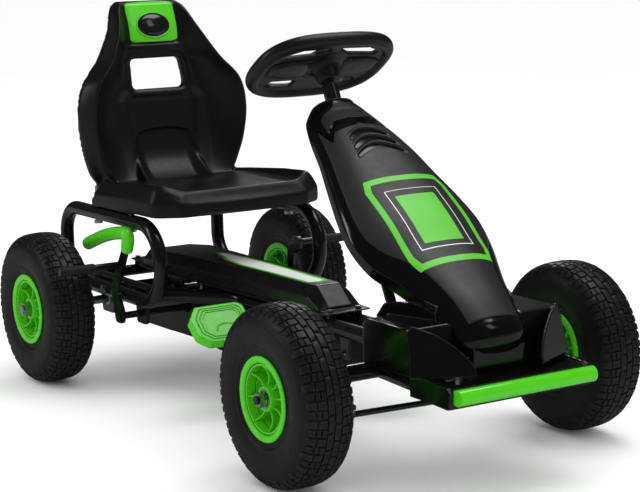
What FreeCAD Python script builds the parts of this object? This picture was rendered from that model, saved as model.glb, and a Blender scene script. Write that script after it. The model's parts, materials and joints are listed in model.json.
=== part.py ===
import FreeCAD, Part
import math
import os
from FreeCAD import Matrix, Placement, Rotation, Vector

# Pedal go-kart: one welded tube frame with moulded shells.  Millimetres, +X forward,
# +Y the driver's left, +Z up, origin on the floor under the middle of the overall box.

DIMENSIONS = dict(
    # axles and wheels
    rear_axle_x=-443.0, front_axle_x=352.0, axle_height=130.0, half_track=255.0,
    tyre_radius=130.0, tyre_half_width=41.0, tread_half_width=35.0,
    rim_radius=60.0, rim_half_width=37.7, bead_radius=46.0, hub_radius=18.0, hub_half=34.0,
    bearing_radius=14.0, bearing_width=8.0, stub_radius=6.0, axle_radius=7.5, axle_end=302.0,
    # frame and seat loops
    side_tube_radius=12.5, side_tube_height=158.0, side_tube_wide=120.0, side_tube_narrow=26.0,
    beam_height=145.0, beam_half=163.0, support_radius=10.0, support_height=142.0,
    loop_radius=12.0, loop_offset=155.0, loop_low=155.0, loop_high=286.0,
    loop_rear_x=-563.0, loop_front_x=-199.0, loop_rear_bend=50.0,
    # steering
    kingpin_offset=185.0, kingpin_radius=6.0, barrel_radius=11.0, knuckle_arm=53.6,
    arm_thick=5.0, pin_radius=4.0, column_radius=8.0, column_top_x=71.0,
    column_top_height=557.0, column_low_height=88.0, pitman_arm=60.0, pitman_height=92.0,
    bush_radius=10.0, run_clear=0.05, wheel_ring=113.0, wheel_section=12.0,
    # drive
    crank_x=25.8, crank_arm=88.0, crank_radius=7.0, chain_pitch=12.7,
    front_teeth=32, rear_teeth=16, chain_links=98, sprocket_half=2.4,
    pedal_width=88.0, pedal_thick=16.0, pedal_pin_radius=5.0, pedal_offset=119.0,
    # hand brake
    brake_x=-313.0, brake_height=124.0, brake_shaft_radius=6.0, brake_bar_x=-308.0,
    brake_bar_height=213.0, brake_pad_radius=8.0, lever_offset=177.0, lever_half=3.0,
    grip_radius=9.5,
    # shells, bumper and seat pan
    guard_skin=2.5, guard_base=176.0, guard_flange=3.0, case_half=48.0, hood_skin=2.8,
    tray_top=156.0, tray_low=128.0, bar_x=564.0, bar_height=146.0, bar_radius=11.0,
    bar_half=124.0, bolt_radius=4.0, screw_radius=2.5, seat_pan_low=305.0, seat_pan_high=342.0,
)

doc = FreeCAD.newDocument("pedal_kart")
sheet = doc.addObject("Spreadsheet::Sheet", "dims")
for row, (alias, value) in enumerate(DIMENSIONS.items(), 1):
    sheet.set("A%d" % row, alias)
    sheet.set("B%d" % row, repr(value))
    sheet.setAlias("B%d" % row, alias)
doc.recompute()


def dim(alias):
    return float(sheet.get(alias))


REAR_X, FRONT_X, AXLE_Z = dim("rear_axle_x"), dim("front_axle_x"), dim("axle_height")
WHEEL_Y, HUB_HALF, AXLE_END = dim("half_track"), dim("hub_half"), dim("axle_end")
TUBE_Z = dim("side_tube_height")
TUBE_WIDE, TUBE_NARROW = dim("side_tube_wide"), dim("side_tube_narrow")
KINGPIN_Y, LOOP_Y, LEVER_Y = dim("kingpin_offset"), dim("loop_offset"), dim("lever_offset")
CRANK_X, CRANK_ARM = dim("crank_x"), dim("crank_arm")
BRAKE_X, BRAKE_Z = dim("brake_x"), dim("brake_height")
BRAKE_BAR_X, BRAKE_BAR_Z = dim("brake_bar_x"), dim("brake_bar_height")
BAR_X, BAR_Z = dim("bar_x"), dim("bar_height")
CLEAR, ARM_THICK = dim("run_clear"), dim("arm_thick")

SIDES = ((1, "left"), (-1, "right"))
UP, ALONG_X, ALONG_Y = (0, 0, 1), (1, 0, 0), (0, 1, 0)
FACING_X = Rotation(Vector(1, 1, 1), 120)  # turns a flat sketch into the YZ plane
BOLT_HOLE = "dims.bolt_radius + dims.run_clear"
SCREW_HOLE = "dims.screw_radius + dims.run_clear"

LOOP_BOLT_X = (-393.0, -350.0)
SEAT_BOLT_X = (-430, -300)
GUARD_SCREWS = ((114, TUBE_NARROW), (-530, 32))  # x, distance from the centre plane
BUMPER_SCREW_Y, BUMPER_SCREW_Z = 85, 144
HANGER_Y, AXLE_BUSH_Y, CRANK_BUSH_Y = 135, 127, 27
AXLE_BUSH_LENGTH, CRANK_BUSH_LENGTH = 22, 18

COLUMN_UP = Vector(-0.4472136, 0, 0.8944272)
COLUMN_TOP = Vector(dim("column_top_x"), 0, dim("column_top_height"))


def column_point(z):
    return COLUMN_TOP + COLUMN_UP * ((z - COLUMN_TOP.z) / COLUMN_UP.z)


# name, centre, holder length below and above it, bore length above it
COLUMN_HOLDERS = (
    ("low", column_point(TUBE_Z), 18, 20, 40),
    ("high", column_point(433), 22, 22, 60),
)
BORE_BELOW = 40
PITMAN_MID_Z = dim("pitman_height") + ARM_THICK / 2
PITMAN_ROOT_X = column_point(PITMAN_MID_Z).x
PITMAN_X = PITMAN_ROOT_X + dim("pitman_arm")
ARM_PIN_X = FRONT_X + dim("knuckle_arm")

NODES = []


def add(label, obj):
    """Label a finished piece and list it for export."""
    obj.Label = label
    NODES.append((label, obj))


# ---------------------------------------------------------------- solids and booleans
def bind(obj, prop, value):
    """A string becomes an expression on the sheet, a number a plain value."""
    if isinstance(value, str):
        obj.setExpression(prop, value)
    else:
        setattr(obj, prop, value)


def about(middle, half):
    return (middle - half, middle + half)


def towards(axis):
    return Rotation(Vector(*UP), Vector(*axis))


def cylinder(name, radius, height, base, axis=UP):
    obj = doc.addObject("Part::Cylinder", name)
    bind(obj, "Radius", radius)
    bind(obj, "Height", height)
    obj.Placement = Placement(Vector(*base), towards(axis))
    return obj


def crosswise(name, radius, length, x, y_middle, z):
    """Cylinder along Y, given by its middle."""
    return cylinder(name, radius, length, (x, y_middle - length / 2, z), ALONG_Y)


def rod(name, radius, start, end):
    """Cylinder between two points."""
    start, end = Vector(*start), Vector(*end)
    return cylinder(name, radius, (end - start).Length, start, end - start)


def column_rod(name, radius, centre, below, above):
    return rod(name, radius, centre - COLUMN_UP * below, centre + COLUMN_UP * above)


def box(name, *spans):
    """Box over its x, y and z spans, each given in either order."""
    lows, highs = zip(*(sorted(span) for span in spans))
    obj = doc.addObject("Part::Box", name)
    obj.Length, obj.Width, obj.Height = (high - low for low, high in zip(lows, highs))
    obj.Placement = Placement(Vector(*lows), Rotation())
    return obj


def hexagon(name, flats, height, base, axis=UP):
    """Hexagonal prism, flats being its width across flats."""
    obj = doc.addObject("Part::Prism", name)
    obj.Polygon = 6
    obj.Circumradius = flats / 2.0 / math.cos(math.pi / 6)
    obj.Height = height
    obj.Placement = Placement(Vector(*base), towards(axis))
    return obj


def crosswise_hexagon(name, flats, height, x, y_middle, z):
    return hexagon(name, flats, height, (x, y_middle - height / 2, z), ALONG_Y)


def fuse(name, parts):
    obj = doc.addObject("Part::MultiFuse", name)
    obj.Shapes = parts
    return obj


def pair(kind, name, base, tool):
    obj = doc.addObject(kind, name)
    obj.Base, obj.Tool = base, tool
    return obj


def cut(name, base, tool):
    return pair("Part::Cut", name, base, tool)


def chained(kind, name, base, tools):
    """Apply one boolean after another, which keeps every shared edge clean."""
    for i, tool in enumerate(tools):
        base = pair(kind, "%s_%d" % (name, i), base, tool)
    return base


def group(name, parts):
    obj = doc.addObject("Part::Compound", name)
    obj.Links = parts
    return obj


# ---------------------------------------------------------------- planar outlines
def rounded(points, radii=0, closed=True):
    """Straight runs and tangent arcs through a planar list of corners."""
    count = len(points)
    corners = [Vector(x, y, 0) for x, y in points]
    if not isinstance(radii, (list, tuple)):
        radii = [radii] * count
    joints = []  # start, middle and end of the arc at each corner
    for i, (corner, radius) in enumerate(zip(corners, radii)):
        if (not closed and i in (0, count - 1)) or radius <= 0:
            joints.append((corner, None, corner))
            continue
        back = (corners[i - 1] - corner).normalize()
        ahead = (corners[(i + 1) % count] - corner).normalize()
        half_angle = math.acos(max(-1, min(1, back.dot(ahead)))) / 2
        reach = radius / math.tan(half_angle)
        centre = corner + (back + ahead).normalize() * (radius / math.sin(half_angle))
        middle = centre + (corner - centre).normalize() * radius
        joints.append((corner + back * reach, middle, corner + ahead * reach))
    pieces = []
    for i, (start, middle, end) in enumerate(joints):
        if middle is not None:
            pieces.append(Part.Arc(start, middle, end))
        if i < count - 1 or closed:
            following = joints[(i + 1) % count][0]
            if (following - end).Length > 1e-6:
                pieces.append(Part.LineSegment(end, following))
    return pieces


def rectangle(x, y, half_x, half_y, radius):
    return rounded([(x - half_x, y - half_y), (x + half_x, y - half_y),
                    (x + half_x, y + half_y), (x - half_x, y + half_y)], radius)


def circle(x, y, radius):
    return Part.Circle(Vector(x, y, 0), Vector(*UP), radius)


def draw(sketch, pieces):
    for piece in pieces:
        sketch.addGeometry(piece, False)


# ---------------------------------------------------------------- sweeps and lofts
def flat_frame(z):
    return Placement(Vector(0, 0, z), Rotation())


def upright_frame(y):
    return Placement(Vector(0, y, 0), Rotation(Vector(1, 0, 0), 90))


def axes_frame(x_axis, y_axis, z_axis, origin):
    columns = (x_axis, y_axis, z_axis, origin)
    rows = [getattr(column, part) for part in "xyz" for column in columns]
    return Placement(Matrix(*rows, 0, 0, 0, 1))


def free_sketch(name, frame, pieces):
    sketch = doc.addObject("Sketcher::SketchObject", name)
    sketch.Placement = frame
    draw(sketch, pieces)
    return sketch


def tube(name, radius, frame, points, radii, closed=False):
    """Round bar swept along a bent planar path that begins with a straight run."""
    pieces = rounded(points, radii, closed)
    path = free_sketch(name + "_path", frame, pieces)
    start = pieces[0].StartPoint
    tangent = frame.Rotation.multVec(pieces[0].EndPoint - start)
    ring = doc.addObject("Part::Circle", name + "_ring")
    bind(ring, "Radius", radius)
    ring.Placement = Placement(frame.multVec(start), towards(tangent))
    doc.recompute()  # the sweep needs the edges of its path
    sweep = doc.addObject("Part::Sweep", name)
    sweep.Sections = [ring]
    sweep.Spine = (path, ["Edge%d" % (i + 1) for i in range(len(pieces))])
    sweep.Solid = True
    sweep.Frenet = False
    return sweep


def loft(name, sections, ruled=False):
    obj = doc.addObject("Part::Loft", name)
    obj.Sections = sections
    obj.Solid = True
    obj.Ruled = ruled
    return obj


# ---------------------------------------------------------------- bodies and features
def new_body(name):
    return doc.addObject("PartDesign::Body", name)


def origin_feature(body, role):
    return [item for item in body.Origin.OriginFeatures if item.Role == role][0]


def profile(body, name, plane, offset, pieces):
    """Sketch on a base plane of the body, offset along that plane's normal."""
    sketch = body.newObject("Sketcher::SketchObject", name + "_sketch")
    sketch.AttachmentSupport = [(origin_feature(body, plane + "_Plane"), "")]
    sketch.MapMode = "FlatFace"
    sketch.AttachmentOffset = Placement(Vector(0, 0, offset), Rotation())
    draw(sketch, pieces)
    return sketch


def pad(body, name, plane, offset, pieces, length, centred=False):
    sketch = profile(body, name, plane, offset, pieces)
    feature = body.newObject("PartDesign::Pad", name)
    feature.Profile = sketch
    bind(feature, "Length", length)
    if centred:
        feature.Midplane = True
    return feature


def pocket(body, name, plane, offset, pieces, length, upward=False):
    """Pocket centred on its sketch, or upward from it."""
    sketch = profile(body, name, plane, offset, pieces)
    feature = body.newObject("PartDesign::Pocket", name)
    feature.Profile = sketch
    bind(feature, "Length", length)
    feature.Midplane = not upward
    feature.Reversed = upward
    return feature


def spin(body, name, plane, pieces, axis):
    sketch = profile(body, name, plane, 0, pieces)
    feature = body.newObject("PartDesign::Revolution", name)
    feature.Profile = sketch
    feature.ReferenceAxis = (sketch, [axis])
    feature.Angle = 360.0


def repeat_round_y(body, name, feature, count):
    pattern = body.newObject("PartDesign::PolarPattern", name)
    pattern.Originals = [feature]
    pattern.Axis = (origin_feature(body, "Y_Axis"), [""])
    pattern.Angle = 360.0
    pattern.Occurrences = count
    body.Tip = pattern


def plate(name, plane, offset, thickness, points, radii, centred=True):
    """Plate with a planar outline; offset is its coordinate along the third axis."""
    body = new_body(name)
    if plane == "XZ":
        offset = -offset  # the normal of the XZ plane points to -Y
    pad(body, name + "_pad", plane, offset, rounded(points, radii), thickness, centred)
    return body


# ---------------------------------------------------------------- welded frame
def support_rod(name, radius, side):
    z = dim("support_height")
    return rod(name, radius, (FRONT_X, side * 97, z), (545, side * 115, z))


def hanger(name, side, x, back, front, low_front, low_back):
    """Plate at a side tube; the last four are the x offsets of its corners."""
    top, foot = 168, 106
    points = [(x + back, top), (x + front, top), (x + low_front, foot), (x + low_back, foot)]
    return plate(name, "XZ", side * HANGER_Y, 6, points, 6)


def frame_side(side, hand):
    wide, narrow = side * TUBE_WIDE, side * TUBE_NARROW
    parts = [
        tube("side_tube_" + hand, "dims.side_tube_radius", flat_frame(TUBE_Z),
             [(-545, wide), (-293, wide), (-163, narrow), (368, narrow)], [0, 70, 70, 0]),
        support_rod("bumper_support_" + hand, "dims.support_radius", side),
        box("yoke_back_" + hand, about(FRONT_X, 15), (side * 160, side * 166), (100, 158)),
    ]
    yoke_radius, yoke_thick = 13, 5
    for z, level in ((152, "top"), (103, "low")):
        parts.append(box("yoke_%s_%s" % (level, hand), about(FRONT_X, yoke_radius),
                         (side * 163, side * KINGPIN_Y), (z, z + yoke_thick)))
        parts.append(cylinder("yoke_end_%s_%s" % (level, hand), yoke_radius, yoke_thick,
                              (FRONT_X, side * KINGPIN_Y, z)))
    parts += [
        hanger("axle_hanger_" + hand, side, REAR_X, -32, 34, 22, -20),
        crosswise("axle_boss_" + hand, 16, AXLE_BUSH_LENGTH, REAR_X, side * AXLE_BUSH_Y, AXLE_Z),
        hanger("brake_hanger_" + hand, side, BRAKE_X, -20, 26, 18, -16),
        crosswise("crank_shell_" + hand, 15, CRANK_BUSH_LENGTH,
                  CRANK_X, side * CRANK_BUSH_Y, AXLE_Z),
        box("crank_saddle_" + hand, about(CRANK_X, 13), (side * 20, side * 33), (138, 152)),
    ]
    for x in LOOP_BOLT_X:
        parts.append(crosswise("loop_spacer_" + hand, 8, 11.9, x, side * 136.95, TUBE_Z))
    parts.append(plate("tube_tab_" + hand, "XZ", narrow, 5,
                       [(142, 152), (168, 152), (165, 112), (147, 112)], 7))
    return parts


def frame_centre():
    """Cross tubes, steering column holders and the spacers under the chain guard."""
    beam = cylinder("front_beam", "dims.side_tube_radius", "2 * dims.beam_half",
                    (FRONT_X, -dim("beam_half"), dim("beam_height")), ALONG_Y)
    parts = [
        beam,
        crosswise("rear_cross_tube", 10, 240, -530, 0, TUBE_Z),
        crosswise("bumper_cross_tube", "dims.support_radius", 230, 540, 0,
                  dim("support_height")),
    ]
    for name, centre, below, above, _ in COLUMN_HOLDERS:
        parts.append(column_rod("column_holder_" + name, 14, centre, below, above))
    strut_top_x = 184
    high_x = COLUMN_HOLDERS[1][1].x
    parts.append(rod("column_strut", 10, (FRONT_X, 0, 150), (strut_top_x, 0, 436)))
    parts.append(box("column_link", (high_x + 6, strut_top_x), (-8, 8), (424, 440)))
    spacer_top = 175.9
    for side, _ in SIDES:
        for (x, y), height in zip(GUARD_SCREWS, (11, 12)):
            parts.append(cylinder("guard_spacer", 6, height, (x, side * y, spacer_top - height)))
    return parts


def frame_holes():
    holes = []
    for side, _ in SIDES:
        holes += [
            cylinder("kingpin_bore", "dims.kingpin_radius + dims.run_clear", 80,
                     (FRONT_X, side * KINGPIN_Y, 90)),
            crosswise("hanger_bore", "dims.bush_radius + 1", 60, REAR_X, side * 130, AXLE_Z),
            crosswise("crank_bore", "dims.bush_radius", 60,
                      CRANK_X, side * CRANK_BUSH_Y, AXLE_Z),
            crosswise("brake_bore", "dims.brake_shaft_radius + dims.run_clear", 60,
                      BRAKE_X, side * HANGER_Y, BRAKE_Z),
            crosswise("brake_light_hole", 4.5, 40, BRAKE_X + 8, side * HANGER_Y, 146),
            crosswise("tab_hole", 6, 40, 156, side * TUBE_NARROW, 124),
        ]
        for x in LOOP_BOLT_X:
            holes.append(crosswise("loop_bolt_hole", BOLT_HOLE, 60, x, side * 125, TUBE_Z))
        for x, y in GUARD_SCREWS:
            holes.append(cylinder("screw_hole", SCREW_HOLE, 60, (x, side * y, 140)))
        holes.append(cylinder("bumper_screw_hole", SCREW_HOLE, 40,
                              (520, side * BUMPER_SCREW_Y, BUMPER_SCREW_Z), ALONG_X))
    for name, centre, _, _, above in COLUMN_HOLDERS:
        holes.append(column_rod(name + "_bore", "dims.bush_radius", centre, BORE_BELOW, above))
    return holes


def main_frame():
    parts = []
    for side, hand in SIDES:
        parts += frame_side(side, hand)
    parts += frame_centre()
    welded = chained("Part::Fuse", "frame_weldment", parts[0], parts[1:])
    return chained("Part::Cut", "main_frame_cut", welded, frame_holes())


# ---------------------------------------------------------------- seat loops
def seat_loop(side, hand):
    """Closed tube loop standing beside the seat."""
    rear_x, front_x = dim("loop_rear_x"), dim("loop_front_x")
    low, high = dim("loop_low"), dim("loop_high")
    front_bend, rear_bend = (high - low) / 2 - 0.5, dim("loop_rear_bend")
    bar = tube("loop_bar_" + hand, "dims.loop_radius", upright_frame(side * LOOP_Y),
               [(-400, low), (front_x, low), (front_x, high), (rear_x, high), (rear_x, low)],
               [0, front_bend, front_bend, rear_bend, rear_bend], True)
    holes = [crosswise("loop_hole", BOLT_HOLE, 60, x, side * LOOP_Y, TUBE_Z)
             for x in LOOP_BOLT_X]
    holes += [cylinder("loop_seat_hole", BOLT_HOLE, 60, (x, side * LOOP_Y, 260))
              for x in SEAT_BOLT_X]
    return cut("seat_loop_cut_" + hand, bar, fuse("loop_holes_" + hand, holes))


def loop_bolt(side, x):
    return fuse("loop_bolt", [
        crosswise("bolt_shank", "dims.bolt_radius", 67, x, side * 137.5, TUBE_Z),
        crosswise_hexagon("bolt_head", 13, 5, x, side * 169.7, TUBE_Z),
        crosswise_hexagon("bolt_nut", 13, 6.2, x, side * 104.2, TUBE_Z)])


for side, hand in SIDES:
    add("seat_loop_" + hand, seat_loop(side, hand))
add("main_frame", main_frame())
add("loop_bolts", group("loop_bolts_group",
                        [loop_bolt(side, x) for side, _ in SIDES for x in LOOP_BOLT_X]))

# ---------------------------------------------------------------- seat
# x, y corners seen from above
PAN_OUTLINE = [(-494, 128), (-494, -128), (-430, -163), (-206, -163),
               (-181, -121), (-181, 121), (-206, 163), (-430, 163)]
PAN_DISH = [(-462, 118), (-462, -118), (-420, -138), (-225, -132),
            (-197, -100), (-197, 100), (-225, 132), (-420, 138)]
PAN_DISH_DEPTH = 9
# middle x, half width, z of each level section of the backrest
BACK_SECTIONS = [(-470, 133, 330), (-470, 148, 352), (-466, 162, 400), (-465, 167, 455),
                 (-467, 156, 505), (-478, 117, 548), (-494, 86, 595), (-520, 62, 636),
                 (-523, 52, 643)]
BACK_HALF_THICK, BACK_CORNER = 11, 9
# y, z corners of the cuts in the backrest
BACK_WINDOW = [(-53, 491), (53, 491), (50, 545), (-50, 545)]
LUMBAR_OUTLINE = [(-70, 372), (70, 372), (95, 460), (60, 480), (-60, 480), (-95, 460)]
INSERT_FRAME = Placement(Vector(-477.5, 0, 575), Rotation(Vector(0, 1, 0), -27.2))
INSERT_GAP = 0.3


def insert_block(name, gap):
    """Leaning slab over the insert at the backrest's top, shrunk by gap."""
    block = plate(name, "YZ", 7 + gap, 26,
                  [(-52 + gap, gap), (52 - gap, gap), (55 - gap, 100), (-55 + gap, 100)],
                  [9, 9, 0, 0])
    block.Placement = INSERT_FRAME
    return block


def seat_pan():
    pan = new_body("seat_pan")
    pad(pan, "pan_pad", "XY", dim("seat_pan_low"), rounded(PAN_OUTLINE, 14),
        "dims.seat_pan_high - dims.seat_pan_low")
    pocket(pan, "pan_dish_cut", "XY", dim("seat_pan_high") - PAN_DISH_DEPTH,
           rounded(PAN_DISH, 20), 20, upward=True)
    return pan


def seat_shell(sections):
    feet = [box("seat_foot", (-440, -290), about(side * LOOP_Y, 8), (298.3, 306))
            for side, _ in SIDES]
    solid = fuse("seat_raw", [seat_pan(), loft("seat_back", sections)] + feet)
    tools = [plate("seat_window", "YZ", -470, 80, BACK_WINDOW, 11),
             insert_block("insert_pocket", 0),
             plate("lumbar_pocket", "YZ", -452.0, 10, LUMBAR_OUTLINE, 14)]
    for side, _ in SIDES:
        for x in SEAT_BOLT_X:
            tools.append(cylinder("seat_bolt_hole", BOLT_HOLE, 48, (x, side * LOOP_Y, 290)))
    return cut("seat_shell_cut", solid, fuse("seat_tools", tools))


def seat_bolt(side, x):
    return fuse("seat_bolt", [
        cylinder("seat_bolt_shank", "dims.bolt_radius", 62, (x, side * LOOP_Y, 272)),
        hexagon("seat_bolt_head", 13, 5.5, (x, side * LOOP_Y, 268.2))])


back_sections = [
    free_sketch("back_section_%d" % i, flat_frame(z),
                rectangle(x, 0, BACK_HALF_THICK, half_width, BACK_CORNER))
    for i, (x, half_width, z) in enumerate(BACK_SECTIONS)]
add("seat_shell", seat_shell(back_sections))
add("seat_insert", pair("Part::Common", "insert_blank", loft("insert_slab", back_sections),
                        insert_block("insert_keep", INSERT_GAP)))
add("seat_bolts", group("seat_bolts_group",
                        [seat_bolt(side, x) for side, _ in SIDES for x in SEAT_BOLT_X]))

# ---------------------------------------------------------------- hood
# x, half width, z of each station along the hood
HOOD_STATIONS = [(100, 36, 500), (112, 52, 486), (124, 60, 474), (151, 70, 456), (199, 84, 424),
                 (238, 96, 392), (282, 109, 357), (321, 115, 326), (357, 108, 298),
                 (391, 92, 280), (425, 77, 260), (459, 66, 238), (488, 59, 214)]
HOOD_SHOULDER = 6.0  # drop from the station line to where the crown begins


def hood_outline(half_width, crown, low):
    """Flat-bottomed section with an arched crown."""
    shoulder = -HOOD_SHOULDER

    def line(start, end):
        return Part.LineSegment(Vector(*start, 0), Vector(*end, 0))

    def arch(start, middle, end):
        return Part.Arc(Vector(*start, 0), Vector(*middle, 0), Vector(*end, 0))

    flank_x, flank_y = half_width * 0.72, crown * 0.56
    return [
        line((-half_width, low), (-half_width, shoulder)),
        arch((-half_width, shoulder), (-flank_x, flank_y), (0, crown)),
        arch((0, crown), (flank_x, flank_y), (half_width, shoulder)),
        line((half_width, shoulder), (half_width, low)),
        line((half_width, low), (-half_width, low)),
    ]


def hood_solid(name, grow, drop, lead=0.0):
    """Solid along the hood: grow widens it, drop deepens it, lead lengthens both ends."""
    sections = []
    last = len(HOOD_STATIONS) - 1
    for i, (x, width, z) in enumerate(HOOD_STATIONS):
        before = HOOD_STATIONS[max(0, i - 1)]
        after = HOOD_STATIONS[min(last, i + 1)]
        along = Vector(after[0] - before[0], 0, after[2] - before[2]).normalize()
        normal = Vector(-along.z, 0, along.x)
        origin = Vector(x, 0, z)
        if i == 0:
            origin = origin - along * lead
        if i == last:
            origin = origin + along * lead
        sections.append(free_sketch(
            "%s_section_%d" % (name, i), axes_frame(Vector(0, 1, 0), normal, along, origin),
            hood_outline(width + grow, 0.30 * width + 3 + grow, -drop * (0.55 + 0.45 * i / last))))
    return loft(name, sections)


def cut_clear_of_hood(name, solid):
    return cut(name, solid, hood_solid(name + "_clear", 0.8, 60.0, 6.0))


def nose_hood():
    skin = dim("hood_skin")
    shell = cut("hood_shell", hood_solid("hood_outer", 0.0, 24.0),
                hood_solid("hood_inner", -skin, 40.0, -skin))
    return cut("nose_hood_cut", shell,
               column_rod("hood_neck_bore", 15, column_point(505), 60, 60))


def nose_grille():
    """Low front block under the hood lip."""
    block = plate("nose_block", "XZ", 0, 88,
                  [(470, 161.0), (506, 161.0), (505, 192), (488, 196), (470, 196)], 4)
    return cut_clear_of_hood("nose_grille_cut", block)


add("nose_hood", nose_hood())
add("nose_grille", nose_grille())

# ---------------------------------------------------------------- side pods with fins
# x, z corners
POD_OUTLINE = [(366, 160.5), (487, 160.5), (474, 226), (374, 226), (366, 218)]
SCOOP_OUTLINE = [(350, 220), (452, 220), (452, 246), (381, 270)]
# along and up the fin's own plane
FIN_OUTLINE = [(0, 2.6), (93, 2.6), (89.5, 17.4), (78.7, 30.8), (62.6, 45.5), (37.5, 62.1),
               (4, 75.2)]
FIN_RADII = [1, 1, 12, 20, 20, 20, 2]


def pod_fin(side, hand):
    along = Vector(0.469, -side * 0.883, 0)
    normal = along.cross(Vector(-0.211, -side * 0.112, 0.971)).normalize()
    fin = plate("pod_fin_" + hand, "XY", 0, 4, FIN_OUTLINE, FIN_RADII)
    fin.Placement = axes_frame(along, normal.cross(along), normal, Vector(486, side * 139, 158))
    return fin


def side_pod(side, hand):
    pod = plate("pod_box_" + hand, "XZ", side * 97, 74, POD_OUTLINE, 5)
    scoop = plate("pod_scoop_" + hand, "XZ", side * 76, 56, SCOOP_OUTLINE, 2)
    # slanting face that trims the scoop's outer side
    trim = box("pod_scoop_trim_" + hand, (-200, 400), (0, 100), (-200, 200))
    face = Rotation(Vector(0, 1, 0), Vector(0.2952, side * 0.9510, 0.0929))
    trim.Placement = Placement(Vector(350, side * 102, 222), face) * trim.Placement
    scoop = cut("pod_scoop_face_" + hand, scoop, trim)
    solid = fuse("pod_raw_" + hand, [pod, scoop, pod_fin(side, hand)])
    return cut_clear_of_hood("side_pod_cut_" + hand, solid)


for side, hand in SIDES:
    add("side_pod_" + hand, side_pod(side, hand))


# ---------------------------------------------------------------- bumper
def bumper_tray():
    """Shallow tray, open below and behind, grooved for the bumper bar."""
    low = dim("tray_low")
    tray = new_body("tray_shell")
    pad(tray, "tray_pad", "XY", low,
        rounded([(454, -114), (552, -124), (552, 124), (454, 114)], 3),
        "dims.tray_top - dims.tray_low")
    pocket(tray, "tray_hollow_cut", "XY", low - 1,
           rounded([(452, -109), (550.6, -121.5), (550.6, 121.5), (452, 109)], [0, 2, 2, 0]),
           "dims.tray_top - dims.tray_low - 1.5", upward=True)
    tools = [crosswise("tray_groove", "dims.bar_radius + 0.3", 260, BAR_X, 0, BAR_Z),
             box("tray_slot", (505, 538), (-95, -20), (154.6, 158))]
    tools += [cylinder("tray_screw_hole", SCREW_HOLE, 20,
                       (542, side * BUMPER_SCREW_Y, BUMPER_SCREW_Z), ALONG_X)
              for side, _ in SIDES]
    tools += [support_rod("tray_support_path", "dims.support_radius + 0.6", side)
              for side, _ in SIDES]
    return cut("bumper_tray_cut", tray, fuse("tray_tools", tools))


def bumper_bar():
    wall, end_wall = 2.5, 4
    half = dim("bar_half")
    outer = cylinder("bar_outer", "dims.bar_radius", "2 * dims.bar_half",
                     (BAR_X, -half, BAR_Z), ALONG_Y)
    tools = [crosswise("bar_hollow", "dims.bar_radius - %r" % wall, 2 * (half - end_wall),
                       BAR_X, 0, BAR_Z)]
    tools += [cylinder("bar_screw_hole", SCREW_HOLE, 8,
                       (550, side * BUMPER_SCREW_Y, BUMPER_SCREW_Z), ALONG_X)
              for side, _ in SIDES]
    return cut("bumper_bar_cut", outer, fuse("bar_tools", tools))


def bumper_screw(side):
    y, z = side * BUMPER_SCREW_Y, BUMPER_SCREW_Z
    return fuse("bumper_screw", [
        cylinder("screw_shank", "dims.screw_radius", 36, (526, y, z), ALONG_X),
        hexagon("screw_head", 8, 4, (525.5, y, z), ALONG_X)])


add("bumper_tray", bumper_tray())
add("bumper_bar", bumper_bar())
add("bumper_screws", group("bumper_screws_group", [bumper_screw(side) for side, _ in SIDES]))

# ---------------------------------------------------------------- chain guard
# x, half width at the top, half width at the base, top z
GUARD_STATIONS = [(-480, 30, 44, 196), (-462, 40, 54, 206), (-400, 50, 60, 211),
                  (-280, 42, 56, 213), (-100, 33, 48, 214), (69, 22, 40, 214),
                  (104, 20, 38, 184)]
# x, y corners of the flange, left half from the front end backward
FLANGE_LEFT = [(124, 44), (60, 48), (-100, 55), (-400, 66), (-466, 62), (-490, 44), (-542, 42)]
FLANGE_OUTLINE = [(x, -y) for x, y in reversed(FLANGE_LEFT)] + FLANGE_LEFT
# x, z corners and corner radii of the lower case, outside and inside
CASE_OUTER = [(REAR_X - 66, 143), (REAR_X - 62, 100), (REAR_X - 30, 69), (REAR_X + 60, 70),
              (-290, 72), (-180, 64), (-20, 54), (60, 52), (100, 86), (108, 143)]
CASE_OUTER_RADII = [3, 30, 30, 20, 20, 20, 24, 30, 30, 3]
CASE_INNER = [(REAR_X - 63.5, 150), (REAR_X - 59.5, 101), (REAR_X - 28.5, 71.5),
              (REAR_X + 60, 72.5), (-290, 74.5), (-180, 66.5), (-19, 56.5), (58.5, 54.5),
              (97.5, 87), (105.5, 150)]
CASE_INNER_RADII = [3, 28, 28, 20, 20, 20, 22, 28, 28, 3]
# shaft, way radius, x, z of the ways left open from the case's top edge
CASE_WAYS = (("axle", 11, REAR_X, AXLE_Z), ("crank", 18, CRANK_X, AXLE_Z),
             ("brake", 9, BRAKE_X, BRAKE_Z))


def guard_solid(name, inset, low):
    """Ridge-shaped solid, its top, sides and ends drawn in by inset."""
    sections = []
    last = len(GUARD_STATIONS) - 1
    for i, (x, top_half, base_half, top) in enumerate(GUARD_STATIONS):
        if i == 0:
            x += inset
        if i == last:
            x -= inset
        top_half, base_half, top = top_half - inset, base_half - inset, top - inset
        eave = max(top - 16, low + 4)
        sections.append(free_sketch(
            "%s_section_%d" % (name, i), Placement(Vector(x, 0, 0), FACING_X),
            rounded([(-base_half, low), (-base_half, eave), (-top_half, top),
                     (top_half, top), (base_half, eave), (base_half, low)])))
    return loft(name, sections, ruled=True)


def chain_guard_upper():
    base = dim("guard_base")
    flange = plate("guard_flange_plate", "XY", base, "dims.guard_flange",
                   FLANGE_OUTLINE, 5, centred=False)
    solid = fuse("guard_raw", [guard_solid("guard_outer", 0.0, base), flange])
    tools = [guard_solid("guard_inner", dim("guard_skin"), base - 8)]
    for side, _ in SIDES:
        for x, y in GUARD_SCREWS:
            tools.append(cylinder("guard_screw_hole", SCREW_HOLE, 60, (x, side * y, 168)))
    return cut("guard_hollowed", solid, fuse("guard_tools", tools))


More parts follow.
